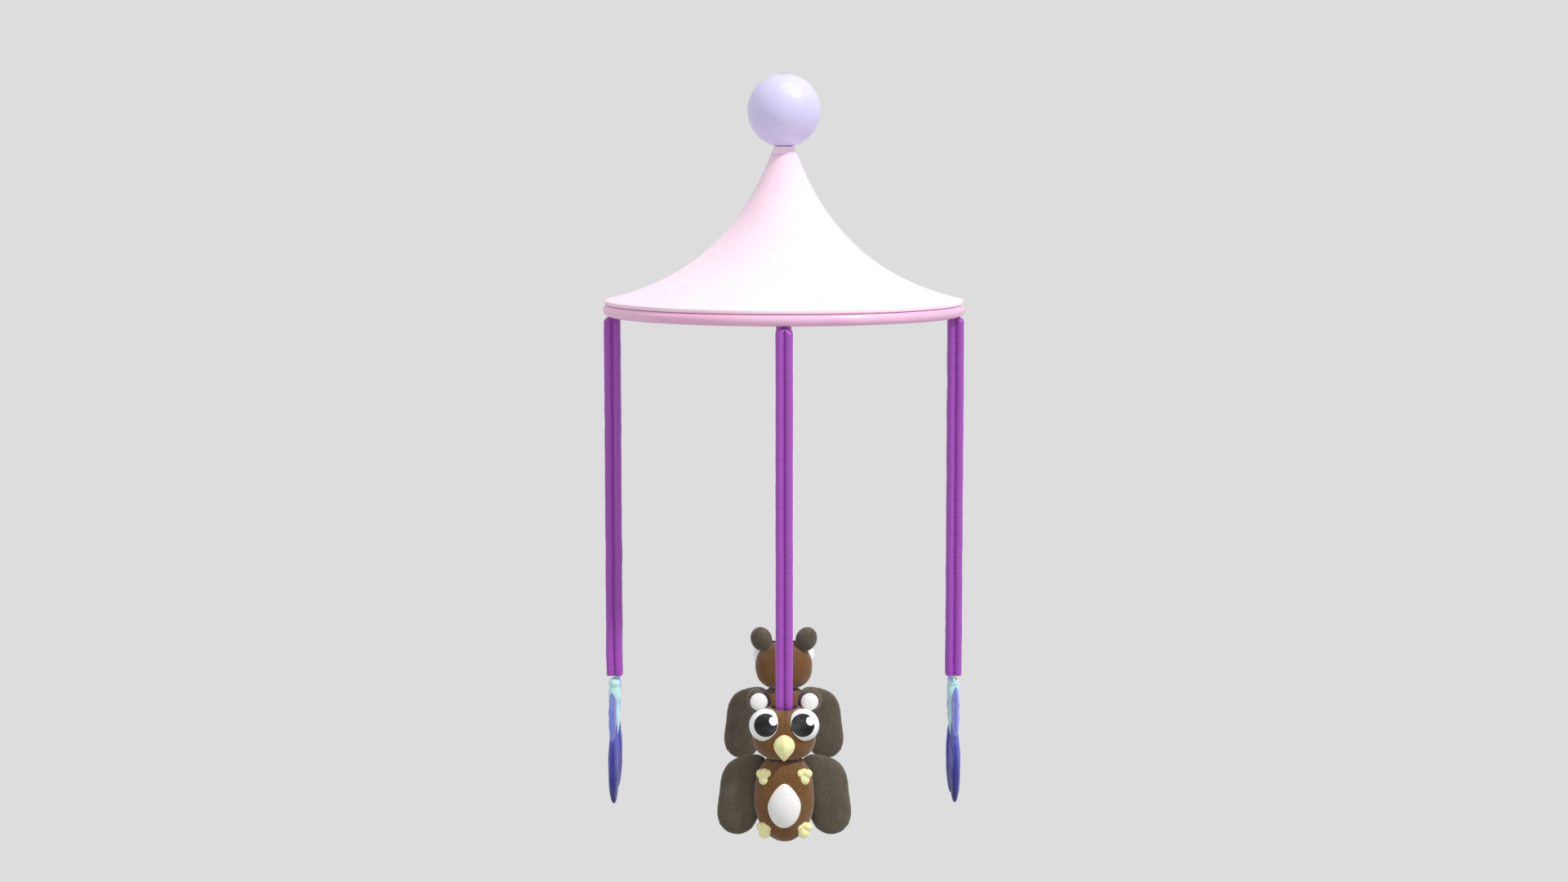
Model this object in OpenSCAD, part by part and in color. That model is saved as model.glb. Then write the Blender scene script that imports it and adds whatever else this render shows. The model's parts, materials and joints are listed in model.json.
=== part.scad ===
// Crib mobile: a ball swivel carries a tent canopy on a moulded rim, and four padded straps
// hang from the rim with two stuffed owls and two stuffed butterflies on swivel stems.
// Millimetres, +Z up. The origin is the mouth of the arm socket on top of the ball.
// Station 0 is at -Y, and the other stations follow by quarter turns: +X, +Y and -X.

/* [Ball] */
// Outside diameter of the ball
ball_d = 66.6; // [60:0.2:82]
// Wall of the two ball shells
ball_wall = 2.4; // [1.8:0.1:3.6]
// Height of the lip that joins the lower shell to the upper one
lap_h = 3; // [2:0.5:5]
// Outside diameter of the threaded arm socket
socket_d = 11; // [9:0.5:15]
// Minor diameter of the socket's thread
socket_bore_d = 5; // [4:0.1:6.8]
// Depth of the socket's thread
socket_depth = 14; // [10:0.5:18]

/* [Bearing and spindle] */
// Outside diameter of the ball bearing
bearing_d = 22; // [19:0.5:26]
// Width of the ball bearing
bearing_w = 7; // [6:0.5:8]
// Diameter of the spindle
spindle_d = 8; // [7:0.5:9]
// Thickness of the retaining clip
clip_t = 1; // [0.8:0.1:1.4]
// Height of the hexagon nut under the canopy shell's neck
nut_h = 6.5; // [5:0.5:8]

/* [Canopy] */
// Height from the underside of the rim to the bottom of the ball
canopy_h = 152.4; // [120:0.4:190]
// Radius of the canopy where it meets the ball
neck_r = 9.8; // [9:0.1:12]
// Thickness of the fabric cover
cover_t = 0.8; // [0.5:0.1:1.2]
// Thickness of the moulded shell under the cover
shell_t = 2; // [1.6:0.1:3]
// Height of the shell's edge, which the cover wraps
edge_h = 2.6; // [2:0.1:4]
// Width of the hems that are clamped at the neck and at the rim
hem_w = 4; // [3:0.5:5]
// Thickness of the plate that closes the shell's neck
plate_t = 3.6; // [2.5:0.1:5]

/* [Rim] */
// Outside diameter of the rim
rim_d = 330.6; // [270:0.6:400]
// Height of the rounded bead, which is the height of the rim
bead_d = 10.6; // [10:0.2:13]
// Width of the rim from its inner wall to its outside
rim_w = 18; // [16:0.5:24]
// Number of screws between the rim and the shell
screws = 8; // [4:4:12]

/* [Hangers] */
// Distance of the strap's middle from the outside of the rim
strap_inset = 8.3; // [8:0.1:10]
// Diameter of the hanger pins
pin_d = 2.4; // [2:0.1:2.8]
// Diameter of the wire of the hanger rings
wire_d = 1.6; // [1.2:0.1:1.8]
// Width of a hanger ring between its wire's centres
ring_w = 6; // [5.6:0.1:7]
// Play between a ring and its pin, and between a loop and its ring
ring_play = 0.3; // [0.2:0.05:0.4]
// Height of the ring's lower bar over the underside of the rim
bar_z = 0.8; // [0.5:0.1:1.2]

/* [Straps] */
// Length of a strap below the rim
strap_l = 334; // [250:1:420]
// Width of a strap, the same both ways
strap_w = 15; // [13:0.5:18]
// Radius of each of the four padded lobes
lobe_r = 3.9; // [3.6:0.1:4.2]
// Thickness of the sewn loop at the top
loop_t = 1; // [0.7:0.1:1.1]
// How much larger the radius of a strap's domed top is than the strap's own
dome_spare = 1; // [0.8:0.1:4]
// Diameter of the plug in the lower end
plug_d = 7.2; // [6.5:0.1:8]
// Length of the plug
plug_l = 14; // [10:1:20]

/* [Swivel stems] */
// Diameter of a stem
stem_d = 3; // [2.5:0.1:3.5]
// Diameter of the head that rests on the plug
stem_head_d = 5.2; // [4.6:0.1:5.6]
// Height of the head, and of the anchor at the other end
stem_head_h = 1.6; // [1.2:0.1:2]
// Radial clearance of a stem in its plug
stem_fit = 0.06; // [0.03:0.01:0.1]

/* [Owls] */
// Width of the head
head_w = 54; // [48:1:62]
// How far the body and the wings stand behind the stem, for balance
body_back = 1.5; // [0:0.1:3]
// Depth of the head from face to back
head_d = 46; // [40:1:54]
// Height of the head
head_h = 51; // [45:1:60]
// How far the head's crown rises past the end of the strap
head_rise = 6; // [3:0.5:9]
// Width of the body
body_w = 53; // [46:1:62]
// Depth of the body
body_d = 42; // [36:1:50]
// Height of the body
body_h = 77; // [66:1:90]
// How far the top of the body reaches up into the head
body_tuck = 4; // [3:0.5:6]
// Diameter of the eyeballs
eye_d = 29; // [24:0.5:31]
// Distance between the middles of the eyes
eye_gap = 32; // [31:0.5:36]
// Drop from the strap's end to the middle of the eyes
eye_drop = 12; // [10:0.5:16]
// Diameter of the pupils
pupil_d = 21.8; // [16:0.2:24]
// Width of the ears
ear_w = 21; // [16:0.5:24]
// Distance between the middles of the ears
ear_gap = 44; // [40:1:50]
// Width of the beak
beak_w = 18; // [14:0.5:22]
// Height of the beak
beak_h = 23; // [18:0.5:28]
// Width of the belly patch
belly_w = 29; // [22:0.5:34]
// Height of the belly patch
belly_h = 42; // [34:0.5:50]
// Reach of a wing from the middle
wing_reach = 59; // [50:1:66]
// Thickness of a wing
wing_t = 14; // [10:0.5:18]
// Width of a claw
claw_w = 15; // [12:0.5:17]

/* [Butterflies] */
// Span of the forewings
span = 116; // [96:1:132]
// Drop from the strap's end to the hindwings' tails
tail_drop = 115; // [100:1:135]
// Thickness of the padded wings
pad_t = 10; // [8:0.5:13]
// Width of the body
bug_w = 9.6; // [8:0.2:12]
// Length of the body below the head
bug_l = 50; // [42:1:60]
// Diameter of the head
bug_head_d = 11; // [10:0.2:13]
// Lean of the butterfly in its own plane, in degrees
lean = 3.5; // [0:0.5:4]

/* [Hidden] */
STATION = ["front", "right", "back", "left"];
OWL_PARTS = ["head", "body", "ears", "inner_ears", "eyeballs", "pupils", "beak", "belly",
             "wings", "claws", "stem"];
BUG_PARTS = ["body", "antennae", "forewings", "hindwings", "stem"];
$fn = 48;

// Colours
LAVENDER = [0.80, 0.77, 0.96];
PALE_PINK = [1.00, 0.86, 0.93];
RIM_PINK = [0.93, 0.70, 0.84];
PURPLE = [0.56, 0.18, 0.66];
BROWN = [0.42, 0.26, 0.12];
WING_BROWN = [0.34, 0.30, 0.25];
CREAM = [0.93, 0.92, 0.64];
WHITE = [0.95, 0.94, 0.92];
BLACK = [0.07, 0.07, 0.08];
MINT = [0.72, 0.93, 0.90];
BLUE = [0.33, 0.36, 0.78];
NAVY = [0.16, 0.15, 0.42];
STEEL = [0.72, 0.73, 0.75];
BRASS = [0.80, 0.64, 0.32];

// Small number by which a cutter runs past the face that it opens
past = 1;

// Ball and bearing
ball_r = ball_d / 2;
inner_r = ball_r - ball_wall;
lip_t = 1.4;
lip_gap = 0.05;
lip_r = sqrt(pow(inner_r, 2) - pow(lap_h, 2)) - lip_gap;
band_h = 6;
socket_floor = 2;
boss_wall = 2.4;
bearing_r = bearing_d / 2;
bearing_z = -ball_r - sqrt(pow(inner_r, 2) - pow(bearing_r, 2));
race_t = (bearing_d - spindle_d) / 2;
pitch_r = (bearing_d + spindle_d) / 4;
roller_r = 0.283 * race_t;
roller_play = 0.1;
race_wall = 0.27 * race_t;
cage_half = 0.8;
cage_edge = 0.5;
rollers = 7;
shoulder_r = spindle_d / 2 + 1;
shoulder_gap = 0.5;
ledge_r = bearing_r - 0.28 * race_t;
chamfer = 0.6;
spindle_over = 1;
groove_t = 0.8;
groove_land = 1.2;
clip_reach = 1.6;
clip_jaw = 1.8;
nut_across = 1.85 * spindle_d;
nut_washer_h = 1.4;

// Neck: the collar's top is a cup that follows the ball
neck_gap = 0.8;
neck_z = -ball_d;
cup_z = neck_z - neck_gap;
collar_h = 6;
collar_lip = 0.3;
collar_over = 2;
rim_z = -(ball_d + canopy_h);
clamp_z = canopy_h - collar_h;
plate_z = clamp_z - cover_t;

// Canopy outline: one cubic curve from the neck to the rim, as [radius, height over the rim]
canopy_r = rim_d / 2 - 1.9;
neck_drop = 0.9;
outline = [
    [neck_r, canopy_h - neck_drop],
    [neck_r + 0.178 * (canopy_r - neck_r), 0.5 * canopy_h],
    [neck_r + 0.495 * (canopy_r - neck_r), 0.208 * canopy_h],
    [canopy_r, bead_d + cover_t + edge_h]
];
outline_steps = 28;
collar_steps = 3;
shell_gap = 0.05;
flange_over = 0.6;
flange_w = 8;
neck_lip = 0.4;

// Rim and hangers
rim_r = rim_d / 2;
bead_r = bead_d / 2;
rim_in = rim_r - rim_w;
hang_r = rim_r - strap_inset;
wire_r = wire_d / 2;
pin_r = pin_d / 2;
ring_side = 3;
pin_z = bar_z + ring_side + ring_w / 2 - wire_r - ring_play - pin_r;
ring_top = bar_z + ring_side + ring_w / 2 + wire_r;
slot_room = 0.6;
slot_h = ring_top + slot_room;
slot_l = ring_w + 2 * wire_r + 5 * slot_room;
loop_out = wire_r + ring_play + loop_t;
slot_w = 2 * (loop_out + 1.1);
pin_hold = 3.5;
pin_l = slot_w + 2 * pin_hold;
screw_r = 1.25;
screw_head_r = 2.8;
screw_head_h = 3;
screw_bite = 2.6;
screw_at = rim_in + screw_head_r + 1.4;
screw_sink = 0.6;
screw_play = 0.2;
screw_key_r = 1.5;

// Straps and stems, from the underside of the rim
loop_l = ring_w - 2 * wire_r - 2 * ring_play;
dome_top = bar_z - loop_out + 0.3;
lobe_at = strap_w / 2 - lobe_r;
column_r = lobe_at * sqrt(2) + lobe_r;
dome_r = column_r + dome_spare;
plug_r = plug_d / 2;
stem_r = stem_d / 2;
head_gap = 0.1;
stem_room = head_gap + stem_head_h + 2;
stem_top = plug_l + head_gap + stem_head_h;
end_gap = 2;

// Owls, from the end of the strap
head_zc = head_rise - head_h / 2;
seam_z = -(head_h - head_rise - body_tuck / 2);
body_zc = -(head_h - head_rise - body_tuck + body_h / 2);
owl_anchor_z = -22;
owl_anchor_r = 5;
crown_r = column_r + 1.4;
jaw_size = [1.055 * head_w, 0.955 * head_d, 0.667 * head_h];
jaw_z = seam_z - 1 + jaw_size.z / 2;
eye_r = eye_d / 2;
eye_play = 0.05;
eye_sink = 0.48;
eye_y = head_face(eye_gap / 2, -eye_drop) + eye_sink * eye_r;
pupil_up = 3;
pupil_t = 0.9;
ear_size = ear_w * [1, 0.8, 1.15];
pad_size = ear_w * [0.72, 0.3, 0.74];
pad_out = 0.36 * ear_w;
beak_z = -eye_drop - 6 - beak_w / 2;
beak_tip_r = 1.2;
beak_flat = 0.8;
ear_y = 7;
ear_z = head_rise + 0.5;
ear_lean = 24;
belly_z = body_zc - 1.5;
belly_t = 12;
belly_sink = 2.2;
wing_r = [8, 18, 18];
wing_x = [body_w / 2 - 4, wing_reach - wing_r[2] - 4, wing_reach - wing_r[2]];
wing_low = body_zc - body_h / 2 + 5;
wing_z = [seam_z - 6, seam_z - 1 - wing_r[1], wing_low + wing_r[2]];
wing_back = 4.5;
hand_z = body_zc + 0.292 * body_h;
foot_z = body_zc - body_h / 2 + 13;
claw_at = 17;
claw_sink = 1.5;
toe_r = 0.27 * claw_w;
toe_x = claw_w / 2 - toe_r;
toe_z = 0.6 * toe_r;
heel_r = 1.1 * toe_r;
heel_z = -0.7 * toe_r;

// Butterflies, from the end of the strap
bug_head_z = -(end_gap + bug_head_d / 2);
bug_zc = bug_head_z - bug_head_d / 2 - bug_l / 2 + 3;
bug_pivot_z = -0.3 * tail_drop;
bug_anchor_z = -20;
bug_anchor_r = 3.4;
chest_w = 1.22 * bug_w;
chest_l = 26;
chest_z = bug_head_z - 10.5;
feeler_r = 0.8;
knob_r = 1.6 * feeler_r;
feeler_bend = 14.8;
feeler_x = 12.5;
feeler_z = bug_head_z - 9.8;
feeler_from = 70;
feeler_turn = 54;
fore_z = [-26, -16, -41];
fore_r = [5, 11, 10];
fore_x = [fore_r[0] + 2, 0.5 * span - fore_r[1], 0.4655 * span - fore_r[2]];
hind_z = [-46, -69, -(tail_drop - 14)];
hind_r = [4, 16, 14];
hind_x = [hind_r[0] + 2, 0.44 * span - hind_r[1], 0.34 * span - hind_r[2]];
pad_scale = pad_t / (2 * max(hind_r));

// y of the head's face at a place beside and above its middle
function head_face(x, z) =
    -head_d / 2 * sqrt(1 - pow(2 * x / head_w, 2) - pow(2 * (z - head_zc) / head_h, 2));

// y of the body's front at a place beside and above its middle
function body_front(x, z) =
    body_back
    - body_d / 2 * sqrt(1 - pow(2 * x / body_w, 2) - pow(2 * (z - body_zc) / body_h, 2));

function curve(p, t) =
    pow(1 - t, 3) * p[0] + 3 * pow(1 - t, 2) * t * p[1]
    + 3 * (1 - t) * t * t * p[2] + pow(t, 3) * p[3];

function slope(p, t) =
    pow(1 - t, 2) * (p[1] - p[0]) + 2 * (1 - t) * t * (p[2] - p[1]) + t * t * (p[3] - p[2]);

// A point at a depth under the canopy's outline
function under(t, depth) =
    let (v = slope(outline, t), n = [v.y, -v.x] / norm(v)) curve(outline, t) + depth * n;

// Where on the outline the collar ends and the cover begins
function share_at(z, lo = 0, hi = 1, n = 24) =
    n == 0 ? (lo + hi) / 2
    : curve(outline, (lo + hi) / 2).y > z
        ? share_at(z, (lo + hi) / 2, hi, n - 1)
        : share_at(z, lo, (lo + hi) / 2, n - 1);

function line_under(depth, from) =
    [for (i = [0:outline_steps]) under(from + (1 - from) * i / outline_steps, depth)];

function reversed(list) = [for (i = [len(list) - 1:-1:0]) list[i]];

t_clamp = share_at(clamp_z);
clamp_r = curve(outline, t_clamp).x;

// Placing

module at_station(k) {
    rotate([0, 0, 90 * k]) translate([0, -hang_r, rim_z]) children();
}

module at_strap_end(k) {
    at_station(k) translate([0, 0, -strap_l]) children();
}

module both_sides() {
    children();
    mirror([1, 0, 0]) children();
}

module tube(r_out, r_in, h) {
    difference() {
        cylinder(r = r_out, h = h);
        translate([0, 0, -past]) cylinder(r = r_in, h = h + 2 * past);
    }
}

module egg(size) {
    scale(size / 2) sphere(r = 1);
}

// Ball

module ball_solid(r = ball_r) {
    translate([0, 0, -ball_r]) sphere(r = r, $fn = 96);
}

module ball_skin() {
    difference() {
        ball_solid();
        ball_solid(inner_r);
    }
}

module ball_upper_shell() {
    floor_z = -(socket_depth + socket_floor);
    color(LAVENDER) difference() {
        union() {
            intersection() {
                ball_skin();
                translate([0, 0, -ball_r]) cylinder(r = ball_r + past, h = ball_r + past);
            }
            intersection() {
                ball_solid();
                translate([0, 0, floor_z - boss_wall])
                    cylinder(d = socket_d + 2 * boss_wall, h = boss_wall - floor_z);
            }
        }
        translate([0, 0, floor_z]) cylinder(d = socket_d, h = past - floor_z);
    }
}

module ball_lower_shell() {
    color(LAVENDER) difference() {
        union() {
            intersection() {
                ball_skin();
                translate([0, 0, -ball_d - past]) cylinder(r = ball_r + past, h = ball_r + past);
            }
            intersection() {
                ball_solid();
                translate([0, 0, -ball_r - band_h]) tube(ball_r + past, lip_r - lip_t, band_h);
            }
            translate([0, 0, -ball_r - band_h]) tube(lip_r, lip_r - lip_t, band_h + lap_h);
            intersection() {
                ball_solid();
                translate([0, 0, -ball_d])
                    cylinder(r = bearing_r + boss_wall, h = ball_d + bearing_z + bearing_w);
            }
        }
        translate([0, 0, bearing_z]) cylinder(r = bearing_r, h = bearing_w + past);
        translate([0, 0, bearing_z - past]) cylinder(r = ledge_r, h = 2 * past);
        translate([0, 0, -ball_d - past])
            cylinder(r = shoulder_r + shoulder_gap, h = ball_d + bearing_z + 2 * past);
    }
}

module arm_socket() {
    depth = socket_depth + socket_floor;
    color(BRASS) difference() {
        translate([0, 0, -depth]) cylinder(d = socket_d, h = depth);
        translate([0, 0, -socket_depth]) cylinder(d = socket_bore_d, h = socket_depth + past);
    }
}

// Bearing

module race_groove() {
    translate([0, 0, bearing_z + bearing_w / 2]) rotate_extrude($fn = 72)
        translate([pitch_r, 0]) circle(r = roller_r + roller_play);
}

module bearing_outer_race() {
    color(STEEL) difference() {
        translate([0, 0, bearing_z]) tube(bearing_r, bearing_r - race_wall, bearing_w);
        race_groove();
    }
}

module bearing_inner_race() {
    color(STEEL) difference() {
        translate([0, 0, bearing_z])
            tube(spindle_d / 2 + race_wall, spindle_d / 2, bearing_w);
        race_groove();
    }
}

module roller_ring(r) {
    for (i = [0:rollers - 1]) rotate([0, 0, i * 360 / rollers])
        translate([pitch_r, 0, bearing_z + bearing_w / 2]) sphere(r = r);
}

module bearing_balls() {
    color(STEEL) roller_ring(roller_r);
}

module bearing_cage() {
    cage_h = 2 * (roller_r + cage_edge);
    color(BRASS) difference() {
        translate([0, 0, bearing_z + bearing_w / 2 - cage_h / 2])
            tube(pitch_r + cage_half, pitch_r - cage_half, cage_h);
        roller_ring(roller_r + roller_play);
    }
}

// Spindle and neck

module spindle() {
    r = spindle_d / 2;
    top = bearing_z + bearing_w + clip_t;
    bottom = rim_z + plate_z - plate_t - nut_h - spindle_over;
    color(STEEL) rotate_extrude() polygon([
        [0, bottom], [r - chamfer, bottom], [r, bottom + chamfer], [r, cup_z],
        [shoulder_r, cup_z], [shoulder_r, bearing_z], [r, bearing_z], [r, top - clip_t],
        [r - groove_t, top - clip_t], [r - groove_t, top], [r, top], [r, top + groove_land],
        [r - chamfer, top + groove_land + chamfer], [0, top + groove_land + chamfer]
    ]);
}

module spindle_clip() {
    r = spindle_d / 2;
    z = bearing_z + bearing_w;
    color(STEEL) difference() {
        translate([0, 0, z]) tube(r + clip_reach, r - groove_t, clip_t);
        translate([0, clip_jaw - r, z - past])
            cube([spindle_d, spindle_d - 2 * clip_jaw, clip_t + 2 * past]);
    }
}

module spindle_nut() {
    z = rim_z + plate_z - plate_t - nut_h;
    color(STEEL) difference() {
        union() {
            translate([0, 0, z]) cylinder(d = nut_across, h = nut_h, $fn = 6);
            translate([0, 0, z + nut_h - nut_washer_h]) cylinder(r = spindle_d, h = nut_washer_h);
        }
        translate([0, 0, z - past]) cylinder(d = spindle_d, h = nut_h + 2 * past);
    }
}

module neck_collar() {
    side = [for (i = [0:collar_steps]) curve(outline, t_clamp * (1 - i / collar_steps))];
    color(PALE_PINK) difference() {
        translate([0, 0, rim_z]) rotate_extrude() polygon(concat(
            [[spindle_d / 2, clamp_z]], side,
            [[neck_r - collar_lip, canopy_h + collar_over],
             [spindle_d / 2, canopy_h + collar_over]]
        ));
        ball_solid(ball_r + neck_gap);
        translate([0, 0, cup_z]) cylinder(r = shoulder_r, h = 2 * past);
    }
}

// Canopy

module canopy_cover() {
    outer = line_under(0, t_clamp);
    inner = line_under(cover_t, t_clamp);
    hem_r = canopy_r - cover_t - hem_w;
    foot_z = bead_d + cover_t;
    color(PALE_PINK) translate([0, 0, rim_z]) rotate_extrude($fn = 128) polygon(concat(
        [[clamp_r - hem_w, clamp_z]], outer,
        [[canopy_r, bead_d], [hem_r, bead_d], [hem_r, foot_z], [canopy_r - cover_t, foot_z]],
        [for (p = reversed(inner)) if (p.x < canopy_r - cover_t && p.y < plate_z) p],
        [[clamp_r - cover_t, plate_z], [clamp_r - hem_w, plate_z]]
    ));
}

module canopy_shell() {
    depth = cover_t + shell_gap;
    foot_z = bead_d + cover_t;
    foot_r = canopy_r - depth;
    flange_z = foot_z + screw_bite + flange_over;
    outer = [for (p = line_under(depth, t_clamp)) if (p.x < foot_r && p.y < plate_z - neck_lip) p];
    inner = [for (p = line_under(depth + shell_t, t_clamp))
        if (p.x < rim_in + flange_w && p.y > flange_z && p.y < plate_z - plate_t - neck_lip) p];
    flange_r = inner[len(inner) - 1].x;
    color(WHITE) translate([0, 0, rim_z]) difference() {
        rotate_extrude($fn = 128) polygon(concat(
            [[spindle_d / 2, plate_z], [clamp_r - cover_t - neck_lip, plate_z]], outer,
            [[foot_r, foot_z], [rim_in, foot_z], [min(rim_in, flange_r), flange_z]],
            reversed(inner),
            [[inner[0].x - neck_lip, plate_z - plate_t], [spindle_d / 2, plate_z - plate_t]]
        ));
        at_screws() cylinder(r = screw_r, h = bead_d + cover_t + screw_bite);
    }
}

// Rim

module at_screws() {
    for (i = [0:screws - 1]) rotate([0, 0, (i + 0.5) * 360 / screws])
        translate([0, -screw_at, 0]) children();
}

module rim_ring() {
    color(RIM_PINK) translate([0, 0, rim_z]) difference() {
        rotate_extrude($fn = 128) union() {
            translate([rim_r - bead_r, bead_r]) circle(r = bead_r);
            translate([rim_in, 0]) square([rim_w - bead_r, bead_d]);
        }
        for (k = [0:3]) rotate([0, 0, 90 * k]) translate([0, -hang_r, 0]) {
            translate([-slot_w / 2, -slot_l / 2, -past]) cube([slot_w, slot_l, slot_h + past]);
            translate([-pin_l / 2, 0, pin_z]) rotate([0, 90, 0]) cylinder(r = pin_r, h = pin_l);
            translate([-pin_l / 2, -pin_r, pin_z]) cube([pin_l, pin_d, bead_d]);
        }
        at_screws() {
            translate([0, 0, -past])
                cylinder(r = screw_head_r + screw_play, h = screw_head_h + past + screw_sink);
            cylinder(r = screw_r + screw_play, h = bead_d + past);
        }
    }
}

module rim_screws() {
    top = bead_d + cover_t + screw_bite - screw_play;
    color(STEEL) translate([0, 0, rim_z]) at_screws() difference() {
        union() {
            translate([0, 0, screw_sink]) cylinder(r = screw_head_r, h = screw_head_h);
            translate([0, 0, screw_sink]) cylinder(r = screw_r, h = top - screw_sink);
        }
        translate([0, 0, screw_sink - past])
            cylinder(r = screw_key_r, h = past + screw_key_r, $fn = 6);
    }
}

module hanger_pins() {
    color(STEEL) for (k = [0:3]) at_station(k)
        translate([-pin_l / 2, 0, pin_z]) rotate([0, 90, 0]) cylinder(r = pin_r, h = pin_l);
}

module hanger_ring(k) {
    half = ring_w / 2;
    color(STEEL) at_station(k) translate([0, 0, bar_z]) {
        translate([0, -half, 0]) rotate([-90, 0, 0]) cylinder(r = wire_r, h = ring_w);
        for (y = [-half, half]) translate([0, y, 0]) {
            sphere(r = wire_r);
            cylinder(r = wire_r, h = ring_side);
        }
        translate([0, 0, ring_side]) rotate([0, 90, 0]) rotate([0, 0, 90])
            rotate_extrude(angle = 180) translate([half, 0]) circle(r = wire_r);
    }
}

// Straps

module strap_column() {
    translate([0, 0, -strap_l]) linear_extrude(strap_l + dome_top) {
        for (x = [-1, 1]) for (y = [-1, 1]) translate([x, y] * lobe_at) circle(r = lobe_r);
        square(2 * lobe_at + 0.6 * lobe_r, center = true);
    }
}

module under_dome() {
    translate([0, 0, dome_top - dome_r]) sphere(r = dome_r, $fn = 64);
    translate([0, 0, -strap_l - past])
        cylinder(r = dome_r + past, h = strap_l + past + dome_top - dome_r);
}

module strap(k) {
    color(PURPLE) at_station(k) difference() {
        union() {
            intersection() {
                strap_column();
                under_dome();
            }
            translate([0, -loop_l / 2, bar_z]) rotate([-90, 0, 0])
                cylinder(r = loop_out, h = loop_l);
        }
        translate([0, -strap_w, bar_z]) rotate([-90, 0, 0])
            cylinder(r = wire_r + ring_play, h = 2 * strap_w);
        translate([0, 0, -strap_l - past]) cylinder(r = plug_r, h = plug_l + stem_room + past);
    }
}

module end_plug(k) {
    color(PALE_PINK) at_strap_end(k) tube(plug_r, stem_r + stem_fit, plug_l);
}

module stem(anchor_z, anchor_r) {
    head_r = stem_head_d / 2;
    top = stem_top;
    color(STEEL) rotate_extrude() polygon([
        [0, anchor_z - stem_head_h], [anchor_r, anchor_z - stem_head_h], [anchor_r, anchor_z],
        [stem_r, anchor_z], [stem_r, top - stem_head_h], [head_r, top - stem_head_h],
        [head_r, top], [0, top]
    ]);
}

module stem_hole(anchor_z, anchor_r) {
    translate([0, 0, anchor_z]) cylinder(r = stem_r, h = -anchor_z + head_rise + past);
    translate([0, 0, anchor_z - stem_head_h]) cylinder(r = anchor_r, h = stem_head_h);
}

// Owls

module at_eyes() {
    both_sides() translate([eye_gap / 2, eye_y, -eye_drop]) children();
}

module pupil_room(gap) {
    intersection() {
        sphere(r = eye_r + pupil_t + gap, $fn = 64);
        translate([0, 0, pupil_up]) rotate([90, 0, 0])
            cylinder(d = pupil_d + 2 * gap, h = 2 * eye_r);
    }
}

module head_egg() {
    translate([0, 0, head_zc]) egg([head_w, head_d, head_h]);
}

module jaw_egg() {
    translate([0, 0, jaw_z]) egg(jaw_size);
}

module body_egg() {
    translate([0, body_back, body_zc]) egg([body_w, body_d, body_h]);
}

module owl_head() {
    color(BROWN) difference() {
        union() {
            head_egg();
            jaw_egg();
        }
        translate([-head_w, -head_w, seam_z - head_h]) cube([2 * head_w, 2 * head_w, head_h]);
        translate([0, 0, -end_gap]) cylinder(r = crown_r, h = head_rise + end_gap + past);
        at_eyes() {
            sphere(r = eye_r + eye_play);
            pupil_room(eye_play);
        }
        stem_hole(owl_anchor_z, owl_anchor_r);
    }
}

module owl_body() {
    color(BROWN) difference() {
        body_egg();
        translate([-body_w, -body_w, seam_z]) cube([2 * body_w, 2 * body_w, body_h]);
    }
}

module ear_egg() {
    translate([ear_gap / 2, ear_y, ear_z]) rotate([0, ear_lean, 0])
        egg(ear_size);
}

module owl_ears() {
    color(WING_BROWN) both_sides() difference() {
        ear_egg();
        head_egg();
    }
}

module owl_inner_ears() {
    color(WHITE) both_sides() difference() {
        translate([ear_gap / 2, ear_y - pad_out, ear_z]) rotate([0, ear_lean, 0])
            egg(pad_size);
        ear_egg();
        head_egg();
        at_eyes() sphere(r = eye_r + eye_play);
    }
}

module owl_eyeballs() {
    color(WHITE) at_eyes() sphere(r = eye_r, $fn = 64);
}

module owl_pupils() {
    color(BLACK) at_eyes() difference() {
        pupil_room(0);
        sphere(r = eye_r, $fn = 64);
    }
}

module owl_beak() {
    r = beak_w / 2;
    color(CREAM) translate([0, head_face(0, beak_z), beak_z]) scale([1, beak_flat, 1]) hull() {
        sphere(r = r, $fn = 24);
        translate([0, 0, r - beak_h + beak_tip_r]) sphere(r = beak_tip_r, $fn = 16);
    }
}

module owl_belly() {
    color(WHITE) translate([0, body_front(0, belly_z) + belly_sink, belly_z])
        egg([belly_w, belly_t, belly_h]);
}

module padded_wing(xs, zs, rs, flat) {
    scale([1, flat, 1]) hull()
        for (i = [0:2]) translate([xs[i], 0, zs[i]]) sphere(r = rs[i], $fn = 24);
}

module owl_wings() {
    color(WING_BROWN) both_sides() translate([0, body_back + wing_back, 0])
        padded_wing(wing_x, wing_z, wing_r, wing_t / (2 * wing_r[2]));
}

module claw() {
    for (x = [-toe_x, toe_x]) translate([x, 0, toe_z]) sphere(r = toe_r);
    translate([0, 0, heel_z]) sphere(r = heel_r);
}

module owl_claws() {
    color(CREAM) both_sides() {
        for (z = [hand_z, foot_z]) difference() {
            translate([claw_at, body_front(claw_at, z) - claw_sink, z]) claw();
            body_egg();
        }
    }
}

module owl(k, part) {
    at_strap_end(k) {
        if (part == "head") owl_head();
        if (part == "body") owl_body();
        if (part == "ears") owl_ears();
        if (part == "inner_ears") owl_inner_ears();
        if (part == "eyeballs") owl_eyeballs();
        if (part == "pupils") owl_pupils();
        if (part == "beak") owl_beak();
        if (part == "belly") owl_belly();
        if (part == "wings") owl_wings();
        if (part == "claws") owl_claws();
        if (part == "stem") stem(owl_anchor_z, owl_anchor_r);
    }
}

// Butterflies

module leaning() {
    translate([0, 0, bug_pivot_z]) rotate([0, lean, 0]) translate([0, 0, -bug_pivot_z]) children();
}

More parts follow.
